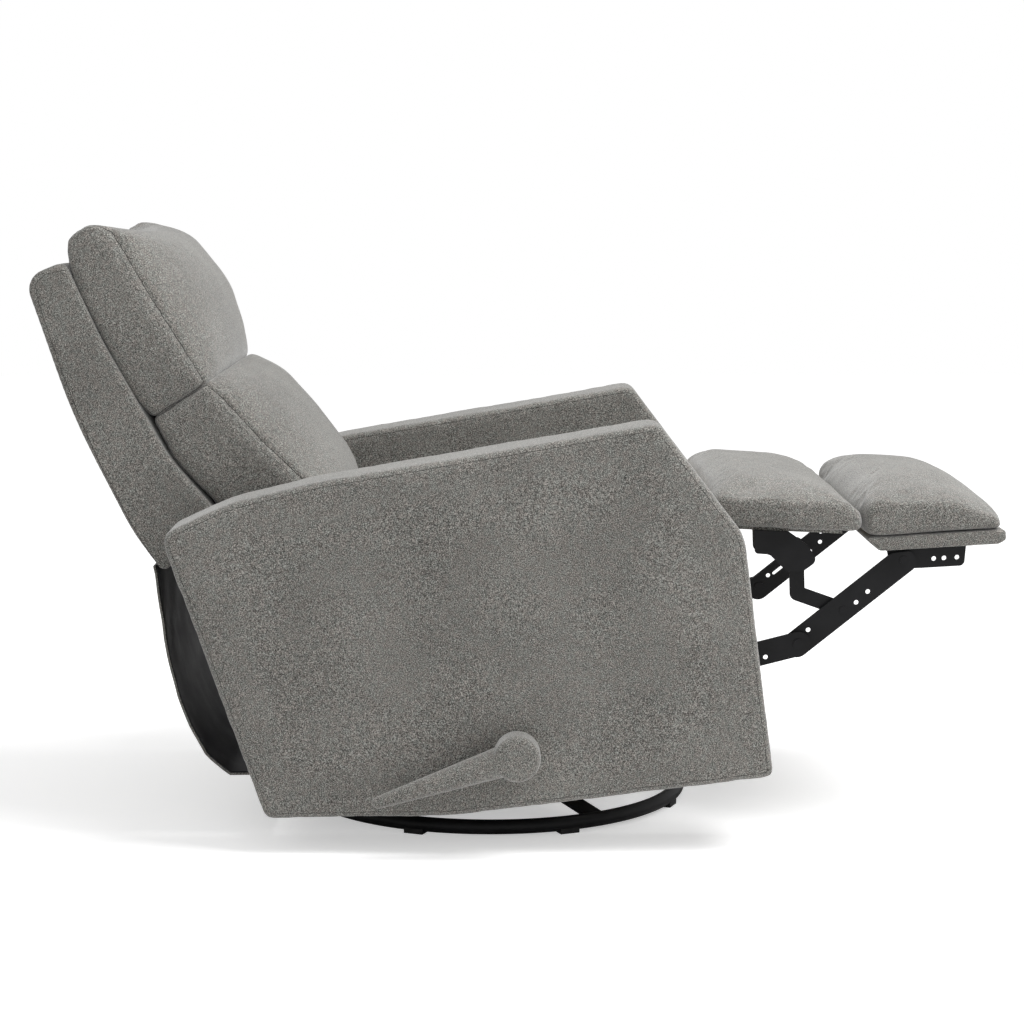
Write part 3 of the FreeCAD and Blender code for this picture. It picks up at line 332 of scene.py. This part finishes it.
def stitch_tree():
    """Geometry nodes: short thread stitches at an even step along the input's edges."""
    tree = bpy.data.node_groups.new("stitch_row", "GeometryNodeTree")
    inputs = {}
    for name, kind in (("Geometry", "NodeSocketGeometry"), ("Step", "NodeSocketFloat"),
                       ("Stitch Size", "NodeSocketVector"), ("Thread", "NodeSocketMaterial")):
        inputs[name] = tree.interface.new_socket(name, in_out="INPUT", socket_type=kind).identifier
    tree.interface.new_socket("Geometry", in_out="OUTPUT", socket_type="NodeSocketGeometry")
    add = tree.nodes.new
    link = tree.links.new
    source = add("NodeGroupInput")
    target = add("NodeGroupOutput")
    to_curve = add("GeometryNodeMeshToCurve")
    to_points = add("GeometryNodeCurveToPoints")
    to_points.mode = "LENGTH"
    thread = add("GeometryNodeMeshUVSphere")
    thread.inputs["Segments"].default_value = 8
    thread.inputs["Rings"].default_value = 5
    thread.inputs["Radius"].default_value = 1.0
    copies = add("GeometryNodeInstanceOnPoints")
    real = add("GeometryNodeRealizeInstances")
    shade = add("GeometryNodeSetShadeSmooth")
    finish = add("GeometryNodeSetMaterial")
    link(source.outputs["Geometry"], to_curve.inputs["Mesh"])
    link(to_curve.outputs["Curve"], to_points.inputs["Curve"])
    link(source.outputs["Step"], to_points.inputs["Length"])
    link(to_points.outputs["Points"], copies.inputs["Points"])
    link(to_points.outputs["Rotation"], copies.inputs["Rotation"])
    link(thread.outputs["Mesh"], shade.inputs["Geometry"])
    link(shade.outputs["Geometry"], copies.inputs["Instance"])
    link(source.outputs["Stitch Size"], copies.inputs["Scale"])
    link(copies.outputs["Instances"], real.inputs["Geometry"])
    link(real.outputs["Geometry"], finish.inputs["Geometry"])
    link(source.outputs["Thread"], finish.inputs["Material"])
    link(finish.outputs["Geometry"], target.inputs["Geometry"])
    return tree, inputs


STITCHES, STITCH_INPUTS = stitch_tree()


def stitch_row(name, cover, path, body):
    """Row of top stitches that lies on a cover."""
    points = on_cover(cover, evenly(path, ROW_STEP), sink=-STITCH_LIFT)
    edges = [(i, i + 1) for i in range(len(points) - 1)]
    mesh = bpy.data.meshes.new(name)
    mesh.from_pydata([tuple(p) for p in points], edges, [])
    piece = bpy.data.objects.new(name, mesh)
    row = piece.modifiers.new("row", "NODES")
    row.node_group = STITCHES
    row[STITCH_INPUTS["Step"]] = STITCH_STEP
    row[STITCH_INPUTS["Stitch Size"]] = STITCH_SIZE
    row[STITCH_INPUTS["Thread"]] = MATERIALS["thread"]
    scene.collection.objects.link(piece)
    baked(piece)
    dress(piece, "thread")
    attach(piece, body)


# Materials, all worked out from object coordinates

def socket(node, name, value):
    node.inputs[name].default_value = value


YARN_SCALE = 470.0
YARN_PULL = 2.2
YARN_SHARE = 0.62
FLECK_SCALE = 760.0
FLECK_SHARE = 0.38
PATCH_SCALE = 7.0
PATCH_DEPTH = 0.05
HUE_SCALE = 120.0
WEAVE_TONES = (
    (0.395, (0.022, 0.021, 0.0195, 1.0)),
    (0.50, (0.150, 0.146, 0.136, 1.0)),
    (0.615, (0.46, 0.45, 0.425, 1.0)),
)
WEAVE_HUES = ((0.36, (1.0, 0.955, 0.93, 1.0)), (0.64, (0.955, 0.985, 0.97, 1.0)))


def set_ramp(ramp, stops):
    """Give a colour ramp its stops; the first and last go to the two it starts with."""
    elements = ramp.color_ramp.elements
    for element, (position, color) in zip((elements[0], elements[1]), (stops[0], stops[-1])):
        element.position = position
        element.color = color
    for position, color in stops[1:-1]:
        elements.new(position).color = color


def weave_group():
    """Shared heathered weave: colour and height of a yarn-dyed cloth."""
    group = bpy.data.node_groups.new("heathered_weave", "ShaderNodeTree")
    group.interface.new_socket("Light", in_out="INPUT", socket_type="NodeSocketFloat")
    group.interface.new_socket("Color", in_out="OUTPUT", socket_type="NodeSocketColor")
    group.interface.new_socket("Height", in_out="OUTPUT", socket_type="NodeSocketFloat")
    add = group.nodes.new
    link = group.links.new
    source = add("NodeGroupInput")
    target = add("NodeGroupOutput")
    place = add("ShaderNodeTexCoord")

    def noise_at(scale, detail, rough, stretch=(1.0, 1.0, 1.0)):
        mapping = add("ShaderNodeMapping")
        socket(mapping, "Scale", stretch)
        link(place.outputs["Object"], mapping.inputs["Vector"])
        cloud = add("ShaderNodeTexNoise")
        socket(cloud, "Scale", scale)
        socket(cloud, "Detail", detail)
        socket(cloud, "Roughness", rough)
        link(mapping.outputs["Vector"], cloud.inputs["Vector"])
        return cloud.outputs["Fac"]

    def maths(kind, a, b):
        node = add("ShaderNodeMath")
        node.operation = kind
        for i, value in enumerate((a, b)):
            if isinstance(value, (int, float)):
                node.inputs[i].default_value = value
            else:
                link(value, node.inputs[i])
        return node.outputs[0]

    across = noise_at(YARN_SCALE, 2.0, 0.75, (1.0, 1.0, YARN_PULL))
    along = noise_at(YARN_SCALE, 2.0, 0.75, (YARN_PULL, YARN_PULL, 1.0))
    flecks = noise_at(FLECK_SCALE, 1.0, 0.6)
    patches = noise_at(PATCH_SCALE, 2.0, 0.5)
    yarn = maths("ADD", maths("MULTIPLY", across, 0.5), maths("MULTIPLY", along, 0.5))
    speckle = maths("ADD", maths("MULTIPLY", yarn, YARN_SHARE), maths("MULTIPLY", flecks, FLECK_SHARE))
    speckle = maths("ADD", speckle, maths("MULTIPLY", maths("SUBTRACT", patches, 0.5), PATCH_DEPTH))
    speckle = maths("ADD", speckle, source.outputs["Light"])
    ramp = add("ShaderNodeValToRGB")
    set_ramp(ramp, WEAVE_TONES)
    link(speckle, ramp.inputs["Fac"])
    tint = add("ShaderNodeMix")
    tint.data_type = "RGBA"
    tint.blend_type = "MULTIPLY"
    socket(tint, 0, 1.0)
    hue = add("ShaderNodeValToRGB")
    set_ramp(hue, WEAVE_HUES)
    link(noise_at(HUE_SCALE, 2.0, 0.6), hue.inputs["Fac"])
    link(ramp.outputs["Color"], tint.inputs[6])
    link(hue.outputs["Color"], tint.inputs[7])
    link(tint.outputs[2], target.inputs["Color"])
    link(speckle, target.inputs["Height"])
    return group


WEAVE = weave_group()


def new_material(name):
    material = bpy.data.materials.new(name)
    material.use_nodes = True
    shader = material.node_tree.nodes["Principled BSDF"]
    return material, shader, material.node_tree.nodes.new, material.node_tree.links.new


WEAVE_BUMP = 0.0012
CLOTH_SHEEN = 0.45
CLOTH_ROUGHNESS = 0.93


def cloth_material(name, light=0.0):
    material, shader, add, link = new_material(name)
    weave = add("ShaderNodeGroup")
    weave.node_tree = WEAVE
    socket(weave, "Light", light)
    bump = add("ShaderNodeBump")
    socket(bump, "Strength", 0.55)
    socket(bump, "Distance", WEAVE_BUMP)
    link(weave.outputs["Color"], shader.inputs["Base Color"])
    link(weave.outputs["Height"], bump.inputs["Height"])
    link(bump.outputs["Normal"], shader.inputs["Normal"])
    socket(shader, "Roughness", CLOTH_ROUGHNESS)
    socket(shader, "Specular IOR Level", 0.2)
    socket(shader, "Sheen Weight", CLOTH_SHEEN)
    socket(shader, "Sheen Roughness", 0.5)
    return material


FINE_RELIEF_SCALE = 900.0


def solid_material(name, low, high, scale, roughness, bump_height, metallic=0.0, stretch=(1, 1, 1),
                   gloss=0.5, rough_spread=0.1):
    """Material with slow colour and roughness changes and a fine relief."""
    material, shader, add, link = new_material(name)
    place = add("ShaderNodeTexCoord")
    mapping = add("ShaderNodeMapping")
    socket(mapping, "Scale", stretch)
    link(place.outputs["Object"], mapping.inputs["Vector"])
    cloud = add("ShaderNodeTexNoise")
    socket(cloud, "Scale", scale)
    socket(cloud, "Detail", 4.0)
    link(mapping.outputs["Vector"], cloud.inputs["Vector"])
    ramp = add("ShaderNodeValToRGB")
    set_ramp(ramp, ((0.35, (*low, 1.0)), (0.65, (*high, 1.0))))
    link(cloud.outputs["Fac"], ramp.inputs["Fac"])
    link(ramp.outputs["Color"], shader.inputs["Base Color"])
    spread = add("ShaderNodeMapRange")
    socket(spread, "To Min", roughness - rough_spread / 2.0)
    socket(spread, "To Max", roughness + rough_spread / 2.0)
    link(cloud.outputs["Fac"], spread.inputs["Value"])
    link(spread.outputs["Result"], shader.inputs["Roughness"])
    fine = add("ShaderNodeTexNoise")
    socket(fine, "Scale", FINE_RELIEF_SCALE)
    socket(fine, "Detail", 2.0)
    link(place.outputs["Object"], fine.inputs["Vector"])
    bump = add("ShaderNodeBump")
    socket(bump, "Strength", 0.3)
    socket(bump, "Distance", bump_height)
    link(fine.outputs["Fac"], bump.inputs["Height"])
    link(bump.outputs["Normal"], shader.inputs["Normal"])
    socket(shader, "Metallic", metallic)
    socket(shader, "Specular IOR Level", gloss)
    return material


MATERIALS = {
    "cover": cloth_material("cover"),
    "thread": cloth_material("thread", light=0.05),
    # The near-black seam colour is painted shade for the creases along the seams, not a thread colour
    "seam_shade": solid_material("seam_shade", (0.022, 0.021, 0.019), (0.055, 0.052, 0.048), 300.0, 0.9, 0.0004),
    "black_steel": solid_material("black_steel", (0.004, 0.004, 0.0045), (0.009, 0.009, 0.010), 18.0, 0.46,
                                  0.00012, gloss=0.22),
    "bright_steel": solid_material("bright_steel", (0.42, 0.42, 0.40), (0.60, 0.60, 0.58), 40.0, 0.35,
                                   0.00005, metallic=1.0),
    "spring_wire": solid_material("spring_wire", (0.10, 0.095, 0.09), (0.20, 0.19, 0.18), 60.0, 0.4,
                                  0.00005, metallic=1.0),
    "timber": solid_material("timber", (0.42, 0.27, 0.14), (0.62, 0.45, 0.27), 22.0, 0.7, 0.0003,
                             stretch=(0.12, 1.0, 1.0)),
    "glide_plastic": solid_material("glide_plastic", (0.010, 0.010, 0.010), (0.02, 0.02, 0.02), 50.0, 0.6,
                                    0.0002, gloss=0.3),
    "lining": solid_material("lining", (0.004, 0.004, 0.006), (0.010, 0.010, 0.014), 30.0, 0.5, 0.0005,
                             rough_spread=0.2, gloss=0.35),
}


def dress(piece, material):
    piece.data.materials.clear()
    piece.data.materials.append(MATERIALS[material])


SLOT_MATERIALS = {"upholstery": "cover", "board_cover": "cover"}

for entry in frame["record"]["subparts"]:
    slot_name = entry["material_slot"]
    material = SLOT_MATERIALS.get(slot_name, slot_name)
    mesh = nodes[entry["node"]].data
    for i in range(max(1, len(mesh.materials))):
        if i < len(mesh.materials):
            mesh.materials[i] = MATERIALS[material]
        else:
            mesh.materials.append(MATERIALS[material])

# The rear bottom rail is wrapped in the same cloth
nodes["rear_bottom_rail"].data.materials[0] = MATERIALS["cover"]

# Arms: padded covers with a seam where the side panel meets the boxing strip

ARM = [
    (389, 68, 12), (386, 416, 60), (284, 590, 22), (-205, 567, 420), (-330, 552, 240), (-431, 520, 26),
    (-338, 97, 18), (-70, 68, 420),
]
ARM_OUTER = 395.0
ARM_INNER = 283.5
ARM_EDGE = 9.0
ARM_SEAM_INSET = 8.0
ARM_VOXEL = 0.0055
OUTER_SWELL = 0.0024
INNER_SWELL = 0.0018
SWELL_REACH = 0.06
SIDES = (("right", -1), ("left", 1))


def shrunk(outline, distance):
    """Outline of (x, z, radius) moved inwards; it runs counter-clockwise."""
    result = []
    count = len(outline)
    for i in range(count):
        here = Vector(outline[i][:2])
        first = (here - Vector(outline[i - 1][:2])).normalized()
        second = (Vector(outline[(i + 1) % count][:2]) - here).normalized()
        normal_a = Vector((-first.y, first.x))
        normal_b = Vector((-second.y, second.x))
        split = (normal_a + normal_b).normalized()
        at = here + split * (distance / split.dot(normal_a))
        result.append((at.x, at.y, max(outline[i][2] - distance, 1.0)))
    return result


def panel_line(outline, place, inset_by, y):
    ring = rounded(shrunk(outline, inset_by))
    return [put(place, p.x, y, p.y) for p in ring]


def block_loops(outline, place, y_from, y_to, edge):
    """Loops of a block between two y planes with rounded edges."""
    steps = 5
    sign = 1.0 if y_to > y_from else -1.0
    first_half = []
    second_half = []
    for k in range(steps + 1):
        a = math.radians(90.0 * k / steps)
        inset = edge * (1.0 - math.sin(a))
        depth = sign * edge * (1.0 - math.cos(a))
        first_half.append(panel_line(outline, place, inset, y_from + depth))
        second_half.append(panel_line(outline, place, inset, y_to - depth))
    return first_half + second_half[::-1]


def seam_path(outline, place, inset_by, y):
    """Points of a closed seam that runs inside a panel's edge."""
    return evenly(panel_line(outline, place, inset_by, y), SEAM_STEP, True)


for side_name, side in SIDES:
    loops = block_loops(ARM, BODY, side * ARM_OUTER, side * ARM_INNER, ARM_EDGE)
    arm = lofted(side_name + "_arm_padding", loops)
    if side > 0:
        arm.data.flip_normals()
    voxels(arm, ARM_VOXEL, 2)
    points = points_of(arm)
    outer_gap = near(points, seam_path(ARM, BODY, 0.0, side * ARM_OUTER))
    inner_gap = near(points, seam_path(ARM, BODY, 0.0, side * ARM_INNER))
    faces_out = normals_of(arm)[:, 1] * side
    lift = np.where(faces_out > 0.8, OUTER_SWELL * (1.0 - np.exp(-outer_gap / SWELL_REACH)), 0.0)
    lift = lift - np.where(faces_out < -0.8, INNER_SWELL * (1.0 - np.exp(-inner_gap / SWELL_REACH)), 0.0)
    points[:, 1] += side * lift
    set_points(arm, points)
    undulated(arm, 0.0008, 9.0, seed=side)
    outer = seam_path(ARM, BODY, ARM_SEAM_INSET, side * ARM_OUTER)
    inner = seam_path(ARM, BODY, ARM_SEAM_INSET, side * ARM_INNER)
    pressed(arm, outer + inner, 0.0012, 0.006)
    smooth_shaded(arm)
    dress(arm, "cover")
    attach(arm, "seat_body")
    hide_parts(side_name + "_arm_cover")
    # Near-black lines of painted shade in the creases of the arm seams
    seam_shade_line(side_name + "_arm_outer_seam", arm, outer, "seat_body", closed=True)
    seam_shade_line(side_name + "_arm_inner_seam", arm, inner, "seat_body", closed=True)

# Back shell: cloth drawn over its frame

SHELL_HALF = 272.0
SHELL_VOXEL = 0.0045
SHELL_EDGE = [
    (-246, 160), (-260, 241), (-270, 326), (-273, 409), (-272, 493), (-268, 579), (-262, 604), (-244, 612),
    (-212, 607),
]

shell = cad_copy("back_cover", "back_shell")
voxels(shell, SHELL_VOXEL, 3)
undulated(shell, 0.0006, 8.0)
smooth_shaded(shell)
dress(shell, "cover")
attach(shell, "back")
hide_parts("back_shell")
# Near-black lines of painted shade along the shell's edge seams
for side_name, side in SIDES:
    path = [put(BACK, u, side * SHELL_HALF, v) for u, v in SHELL_EDGE]
    seam_shade_line(side_name + "_shell_seam", shell, path, "back")

# Back cushions: lofted from side panels to a fuller crown, then swelled as cloth

HEAD_SIDE = [
    (-176, 364, 12), (-86, 385, 10), (-97, 440, 150), (-115, 528, 150), (-134, 638, 12), (-158, 660, 12),
    (-205, 653, 36), (-215, 577, 80), (-196, 409, 100),
]
HEAD_CROWN = [
    (-176, 364, 12), (-56, 393, 18), (-43, 440, 60), (-38, 515, 90), (-66, 598, 50), (-112, 627, 30),
    (-188, 629, 30), (-215, 577, 80), (-196, 409, 100),
]
LUMBAR_SIDE = [
    (-114, 112, 14), (14, 110, 16), (10, 180, 60), (-40, 285, 200), (-72, 362, 16), (-87, 387, 8),
    (-177, 366, 10), (-171, 300, 150), (-134, 216, 80),
]
LUMBAR_CROWN = [
    (-114, 112, 14), (42, 110, 20), (48, 185, 80), (22, 280, 120), (-6, 352, 60), (-48, 397, 18),
    (-177, 366, 10), (-171, 300, 150), (-134, 216, 80),
]
PILLOW_HALF = 259.0
PILLOW_STEPS = 26
CROWN_FLATNESS = 2.5
CROWN_ROUNDNESS = 0.6
PANEL_PUFF = ((4.0, 3.0), (11.0, 6.0), (20.0, 8.5))
PILLOW_CAP = 0.005
CUSHION_VOXEL = 0.006
UNEVEN = 0.0015
CUSHION_SEAM_DEPTH = 0.0024
CUSHION_SEAM_WIDTH = 0.008
CUSHION_SEAM_RADIUS = 0.0009


def pillow_loops(side, crown, place):
    """Loops across a back cushion, from one puffed side panel over the crown to the other."""
    loops = []
    for inset, out in reversed(PANEL_PUFF):
        loops.append(panel_line(side, place, inset, -PILLOW_HALF - out))
    for k in range(PILLOW_STEPS + 1):
        share = math.sin(math.pi * (k / PILLOW_STEPS - 0.5))
        swell = (1.0 - min(1.0, abs(share)) ** CROWN_FLATNESS) ** CROWN_ROUNDNESS
        outline = [tuple(a + (b - a) * swell for a, b in zip(*pair)) for pair in zip(side, crown)]
        loops.append(panel_line(outline, place, 0.0, share * PILLOW_HALF))
    for inset, out in PANEL_PUFF:
        loops.append(panel_line(side, place, inset, PILLOW_HALF + out))
    return loops


def finished_cushion(piece, node, body, cap, held_by, seed, seams=()):
    """Swell a cushion; held_by(points, normals) gives how firmly each point stays."""
    inflated(piece, cap, held_by(points_of(piece), normals_of(piece)))
    finer(piece)
    undulated(piece, UNEVEN, 11.0, seed)
    undulated(piece, UNEVEN * 0.35, 34.0, seed + 3.0)
    for line in seams:
        pressed(piece, line, CUSHION_SEAM_DEPTH, CUSHION_SEAM_WIDTH)
    smooth_shaded(piece)
    dress(piece, "cover")
    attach(piece, body)
    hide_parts(node)


def held_near(lines, extra, place):
    """Held close to the seams, and where extra(local points, local normals) says."""
    back = place.inverted()
    turn = np.array(back.to_3x3())
    move = np.array(back.translation)

    def weights(points, normals):
        local = points @ turn.T + move
        facing = normals @ turn.T
        gap = near(points, lines) if lines else np.full(len(points), 1.0)
        firm = np.where(gap < 0.006, 0.9, 0.0)
        return np.clip(np.maximum(firm, extra(local, facing)), 0.0, 1.0)

    return weights


def rests_behind(local, facing):
    """The rear face of a back cushion rests on the shell; its sides and underside stay put."""
    rear = np.where(facing[:, 0] < -0.5, 1.0, 0.0)
    sides = np.where(np.abs(facing[:, 1]) > 0.85, 0.5, 0.0)
    ends = np.where(np.abs(facing[:, 2]) > 0.9, 0.3, 0.0)
    return np.maximum(np.maximum(rear, sides), ends)


HEAD_FRONT = [(-90, 400), (-97, 440), (-115, 528), (-131, 618), (-136, 634)]
LUMBAR_FRONT = [(12, 150), (8, 182), (-40, 285), (-70, 356), (-84, 380)]
STITCH_ROWS = ((9.0, -8.0), (-6.0, 4.5))

for label, side_outline, crown_outline, front, seed in (
        ("head", HEAD_SIDE, HEAD_CROWN, HEAD_FRONT, 1.3),
        ("lumbar", LUMBAR_SIDE, LUMBAR_CROWN, LUMBAR_FRONT, 4.1)):
    piece = lofted(label + "_pillow", pillow_loops(side_outline, crown_outline, BACK))
    voxels(piece, CUSHION_VOXEL, 1)
    seams = [seam_path(side_outline, BACK, 0.0, side * PILLOW_HALF) for side_name, side in SIDES]
    held = held_near(seams[0] + seams[1], rests_behind, BACK)
    finished_cushion(piece, label + "_cushion", "back", PILLOW_CAP, held, seed, seams)
    # Near-black lines of painted shade in the side panel seams; the stitch rows below are the thread
    for (side_name, side), line in zip(SIDES, seams):
        seam_shade_line("%s_%s_seam" % (label, side_name), piece, line, "back", CUSHION_SEAM_RADIUS, closed=True)
        for row, (out, further) in enumerate(STITCH_ROWS):
            path = [put(BACK, u + out, side * (PILLOW_HALF + further), v) for u, v in front]
            stitch_row("%s_%s_stitches_%d" % (label, side_name, row + 1), piece, path, "back")

# Seat cushion and the two footrest pads: the pads fall away to the crease between them

BRIDGE_FALL = [(300, 520), (450, 472), (500, 455), (535, 440), (560, 423), (576, 404), (600, 394)]
FOOTREST_FALL = [(500, 400), (568, 403), (575, 420), (586, 436), (604, 449), (640, 456), (800, 470)]
BRIDGE_REACH = (500, 562, 14.0)
FOOTREST_REACH = (600, 574, -3.0)
CREASE_VOXEL = 0.004
WRAP_VOXEL = 0.003


def rests_below(local, facing):
    """The underside of a seat cushion or pad rests on its board; its sides give a little."""
    below = np.where(facing[:, 2] < -0.4, 1.0, 0.0)
    sides = np.where(np.abs(facing[:, 1]) > 0.9, 0.5, 0.0)
    return np.maximum(below, sides)


def creased(piece, fall, reach, place):
    """Stretch a pad to the crease (from x, to x, by) and bring its top down to a line of (x, z)."""
    back = place.inverted()
    begin, finish, stretch = (value * MM for value in reach)
    line_x = [x * MM for x, z in fall]
    line_z = [z * MM for x, z in fall]
    points = []
    for p in points_of(piece):
        local = back @ Vector(p)
        share = min(1.0, max(0.0, (local.x - begin) / (finish - begin)))
        local.x += stretch * share * share
        local.z = min(local.z, float(np.interp(local.x, line_x, line_z)))
        points.append(place @ local)
    set_points(piece, np.array(points))


for name, node, body, cap, fall, reach, seed in (
        ("seat_pillow", "seat_cushion", "seat_body", 0.009, None, None, 2.2),
        ("bridging_pillow", "bridging_pad", "bridge", 0.005, BRIDGE_FALL, BRIDGE_REACH, 3.7),
        ("footrest_pillow", "footrest_pad", "footrest", 0.006, FOOTREST_FALL, FOOTREST_REACH, 5.9)):
    piece = cad_copy(name, node)
    if fall:
        voxels(piece, CREASE_VOXEL, 0)
        creased(piece, fall, reach, BODY)
    voxels(piece, CUSHION_VOXEL, 3)
    finished_cushion(piece, node, body, cap, held_near([], rests_below, BODY), seed)

# Cloth wraps of the footrest's board and of the handle

for name, node, body in (("footrest_board_cover", "footrest_board", "footrest"),
                         ("handle_cover", "handle_wrap", "drive")):
    piece = cad_copy(name, node)
    voxels(piece, WRAP_VOXEL, 2)
    smooth_shaded(piece)
    dress(piece, "cover")
    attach(piece, body)
    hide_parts(node)

# Apron behind the seat: cloth outside, dark lining inside

APRON = [
    (-466, 460), (-464, 444), (-465, 400), (-465, 352), (-462, 305), (-458, 262), (-446, 215), (-428, 170),
    (-398, 138), (-352, 132), (-352, 92),
]
APRON_WIDTH = 0.524
APRON_THICKNESS = 0.0035
APRON_STEP = 0.012
APRON_COLUMNS = 44
APRON_SAG = 0.004
APRON_RIPPLE = 0.0016


def apron():
    line = evenly([put(BODY, x, 0.0, z) for x, z in APRON], APRON_STEP)
    across = APRON_COLUMNS
    vertices = []
    for depth in (0.0, APRON_THICKNESS):
        for i, p in enumerate(line):
            ahead = (line[min(i + 1, len(line) - 1)] - line[max(i - 1, 0)]).normalized()
            inward = Vector((-ahead.z, 0.0, ahead.x))
            down = math.sin(i / (len(line) - 1) * math.pi)
            for k in range(across + 1):
                y = (k / across - 0.5) * APRON_WIDTH
                sag = APRON_SAG * math.sin(k / across * math.pi) * down
                ripple = APRON_RIPPLE * noise.noise(Vector((y * 16.0, i * 0.22, 3.0)))
                vertices.append(p + Vector((0.0, y, 0.0)) + inward * (depth - sag + ripple))
    faces = []
    row = across + 1
    size = row * len(line)
    for layer in (0, 1):
        for i in range(len(line) - 1):
            for k in range(across):
                a = layer * size + i * row + k
                quad = (a, a + 1, a + row + 1, a + row)
                faces.append(quad if layer == 1 else quad[::-1])
    rim = list(range(row)) + [i * row + across for i in range(1, len(line))]
    rim += [(len(line) - 1) * row + k for k in range(across - 1, -1, -1)]
    rim += [i * row for i in range(len(line) - 2, 0, -1)]
    for a, b in zip(rim, rim[1:] + rim[:1]):
        faces.append((a, b, b + size, a + size))
    piece = mesh_object("rear_apron", [tuple(v) for v in vertices], faces)
    piece.data.materials.append(MATERIALS["cover"])
    piece.data.materials.append(MATERIALS["lining"])
    count = (len(line) - 1) * across
    for index, polygon in enumerate(piece.data.polygons):
        if count <= index < 2 * count:
            polygon.material_index = 1
    smooth_shaded(piece)
    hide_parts("back_apron")
    return piece


apron_piece = apron()
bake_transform(apron_piece)

# Floor and light

FLOOR_HALF = 9.0
FLOOR_GLOW = 0.45
SKY_LIGHT = 0.62
KEY_PLACE = (1.5, -0.6, 3.2)
KEY_TARGET = (0.1, 0.0, 0.4)
KEY_SIZE = (2.0, 2.6)
KEY_POWER = 120.0

floor_data = bpy.data.meshes.new("floor")
floor_corners = [(a * FLOOR_HALF, b * FLOOR_HALF, 0.0) for a, b in ((-1, -1), (1, -1), (1, 1), (-1, 1))]
floor_data.from_pydata(floor_corners, [], [(0, 1, 2, 3)])
floor = bpy.data.objects.new("floor", floor_data)
scene.collection.objects.link(floor)
floor_material, floor_shader, add, link = new_material("floor")
socket(floor_shader, "Base Color", (0.90, 0.90, 0.90, 1.0))
socket(floor_shader, "Roughness", 0.9)
socket(floor_shader, "Specular IOR Level", 0.1)
socket(floor_shader, "Emission Color", (1.0, 1.0, 1.0, 1.0))
seen = add("ShaderNodeLightPath")
glow = add("ShaderNodeMath")
glow.operation = "MULTIPLY"
glow.inputs[1].default_value = FLOOR_GLOW
link(seen.outputs["Is Camera Ray"], glow.inputs[0])
link(glow.outputs[0], floor_shader.inputs["Emission Strength"])
floor.data.materials.append(floor_material)

world = bpy.data.worlds.new("studio")
scene.world = world
world.use_nodes = True
tree = world.node_tree
background = tree.nodes["Background"]
socket(background, "Color", (1.0, 1.0, 1.0, 1.0))
seen = tree.nodes.new("ShaderNodeLightPath")
shown = tree.nodes.new("ShaderNodeMath")
shown.operation = "MAXIMUM"
tree.links.new(seen.outputs["Is Camera Ray"], shown.inputs[0])
tree.links.new(seen.outputs["Is Transmission Ray"], shown.inputs[1])
level = tree.nodes.new("ShaderNodeMapRange")
socket(level, "To Min", SKY_LIGHT)
socket(level, "To Max", 1.0)
tree.links.new(shown.outputs[0], level.inputs["Value"])
tree.links.new(level.outputs["Result"], background.inputs["Strength"])

key_data = bpy.data.lights.new("key", "AREA")
key_data.shape = "RECTANGLE"
key_data.size = KEY_SIZE[0]
key_data.size_y = KEY_SIZE[1]
key_data.energy = KEY_POWER
key = bpy.data.objects.new("key", key_data)
key.location = KEY_PLACE
key.rotation_euler = (Vector(KEY_TARGET) - Vector(KEY_PLACE)).to_track_quat("-Z", "Y").to_euler()
scene.collection.objects.link(key)

scene.view_settings.view_transform = "Standard"
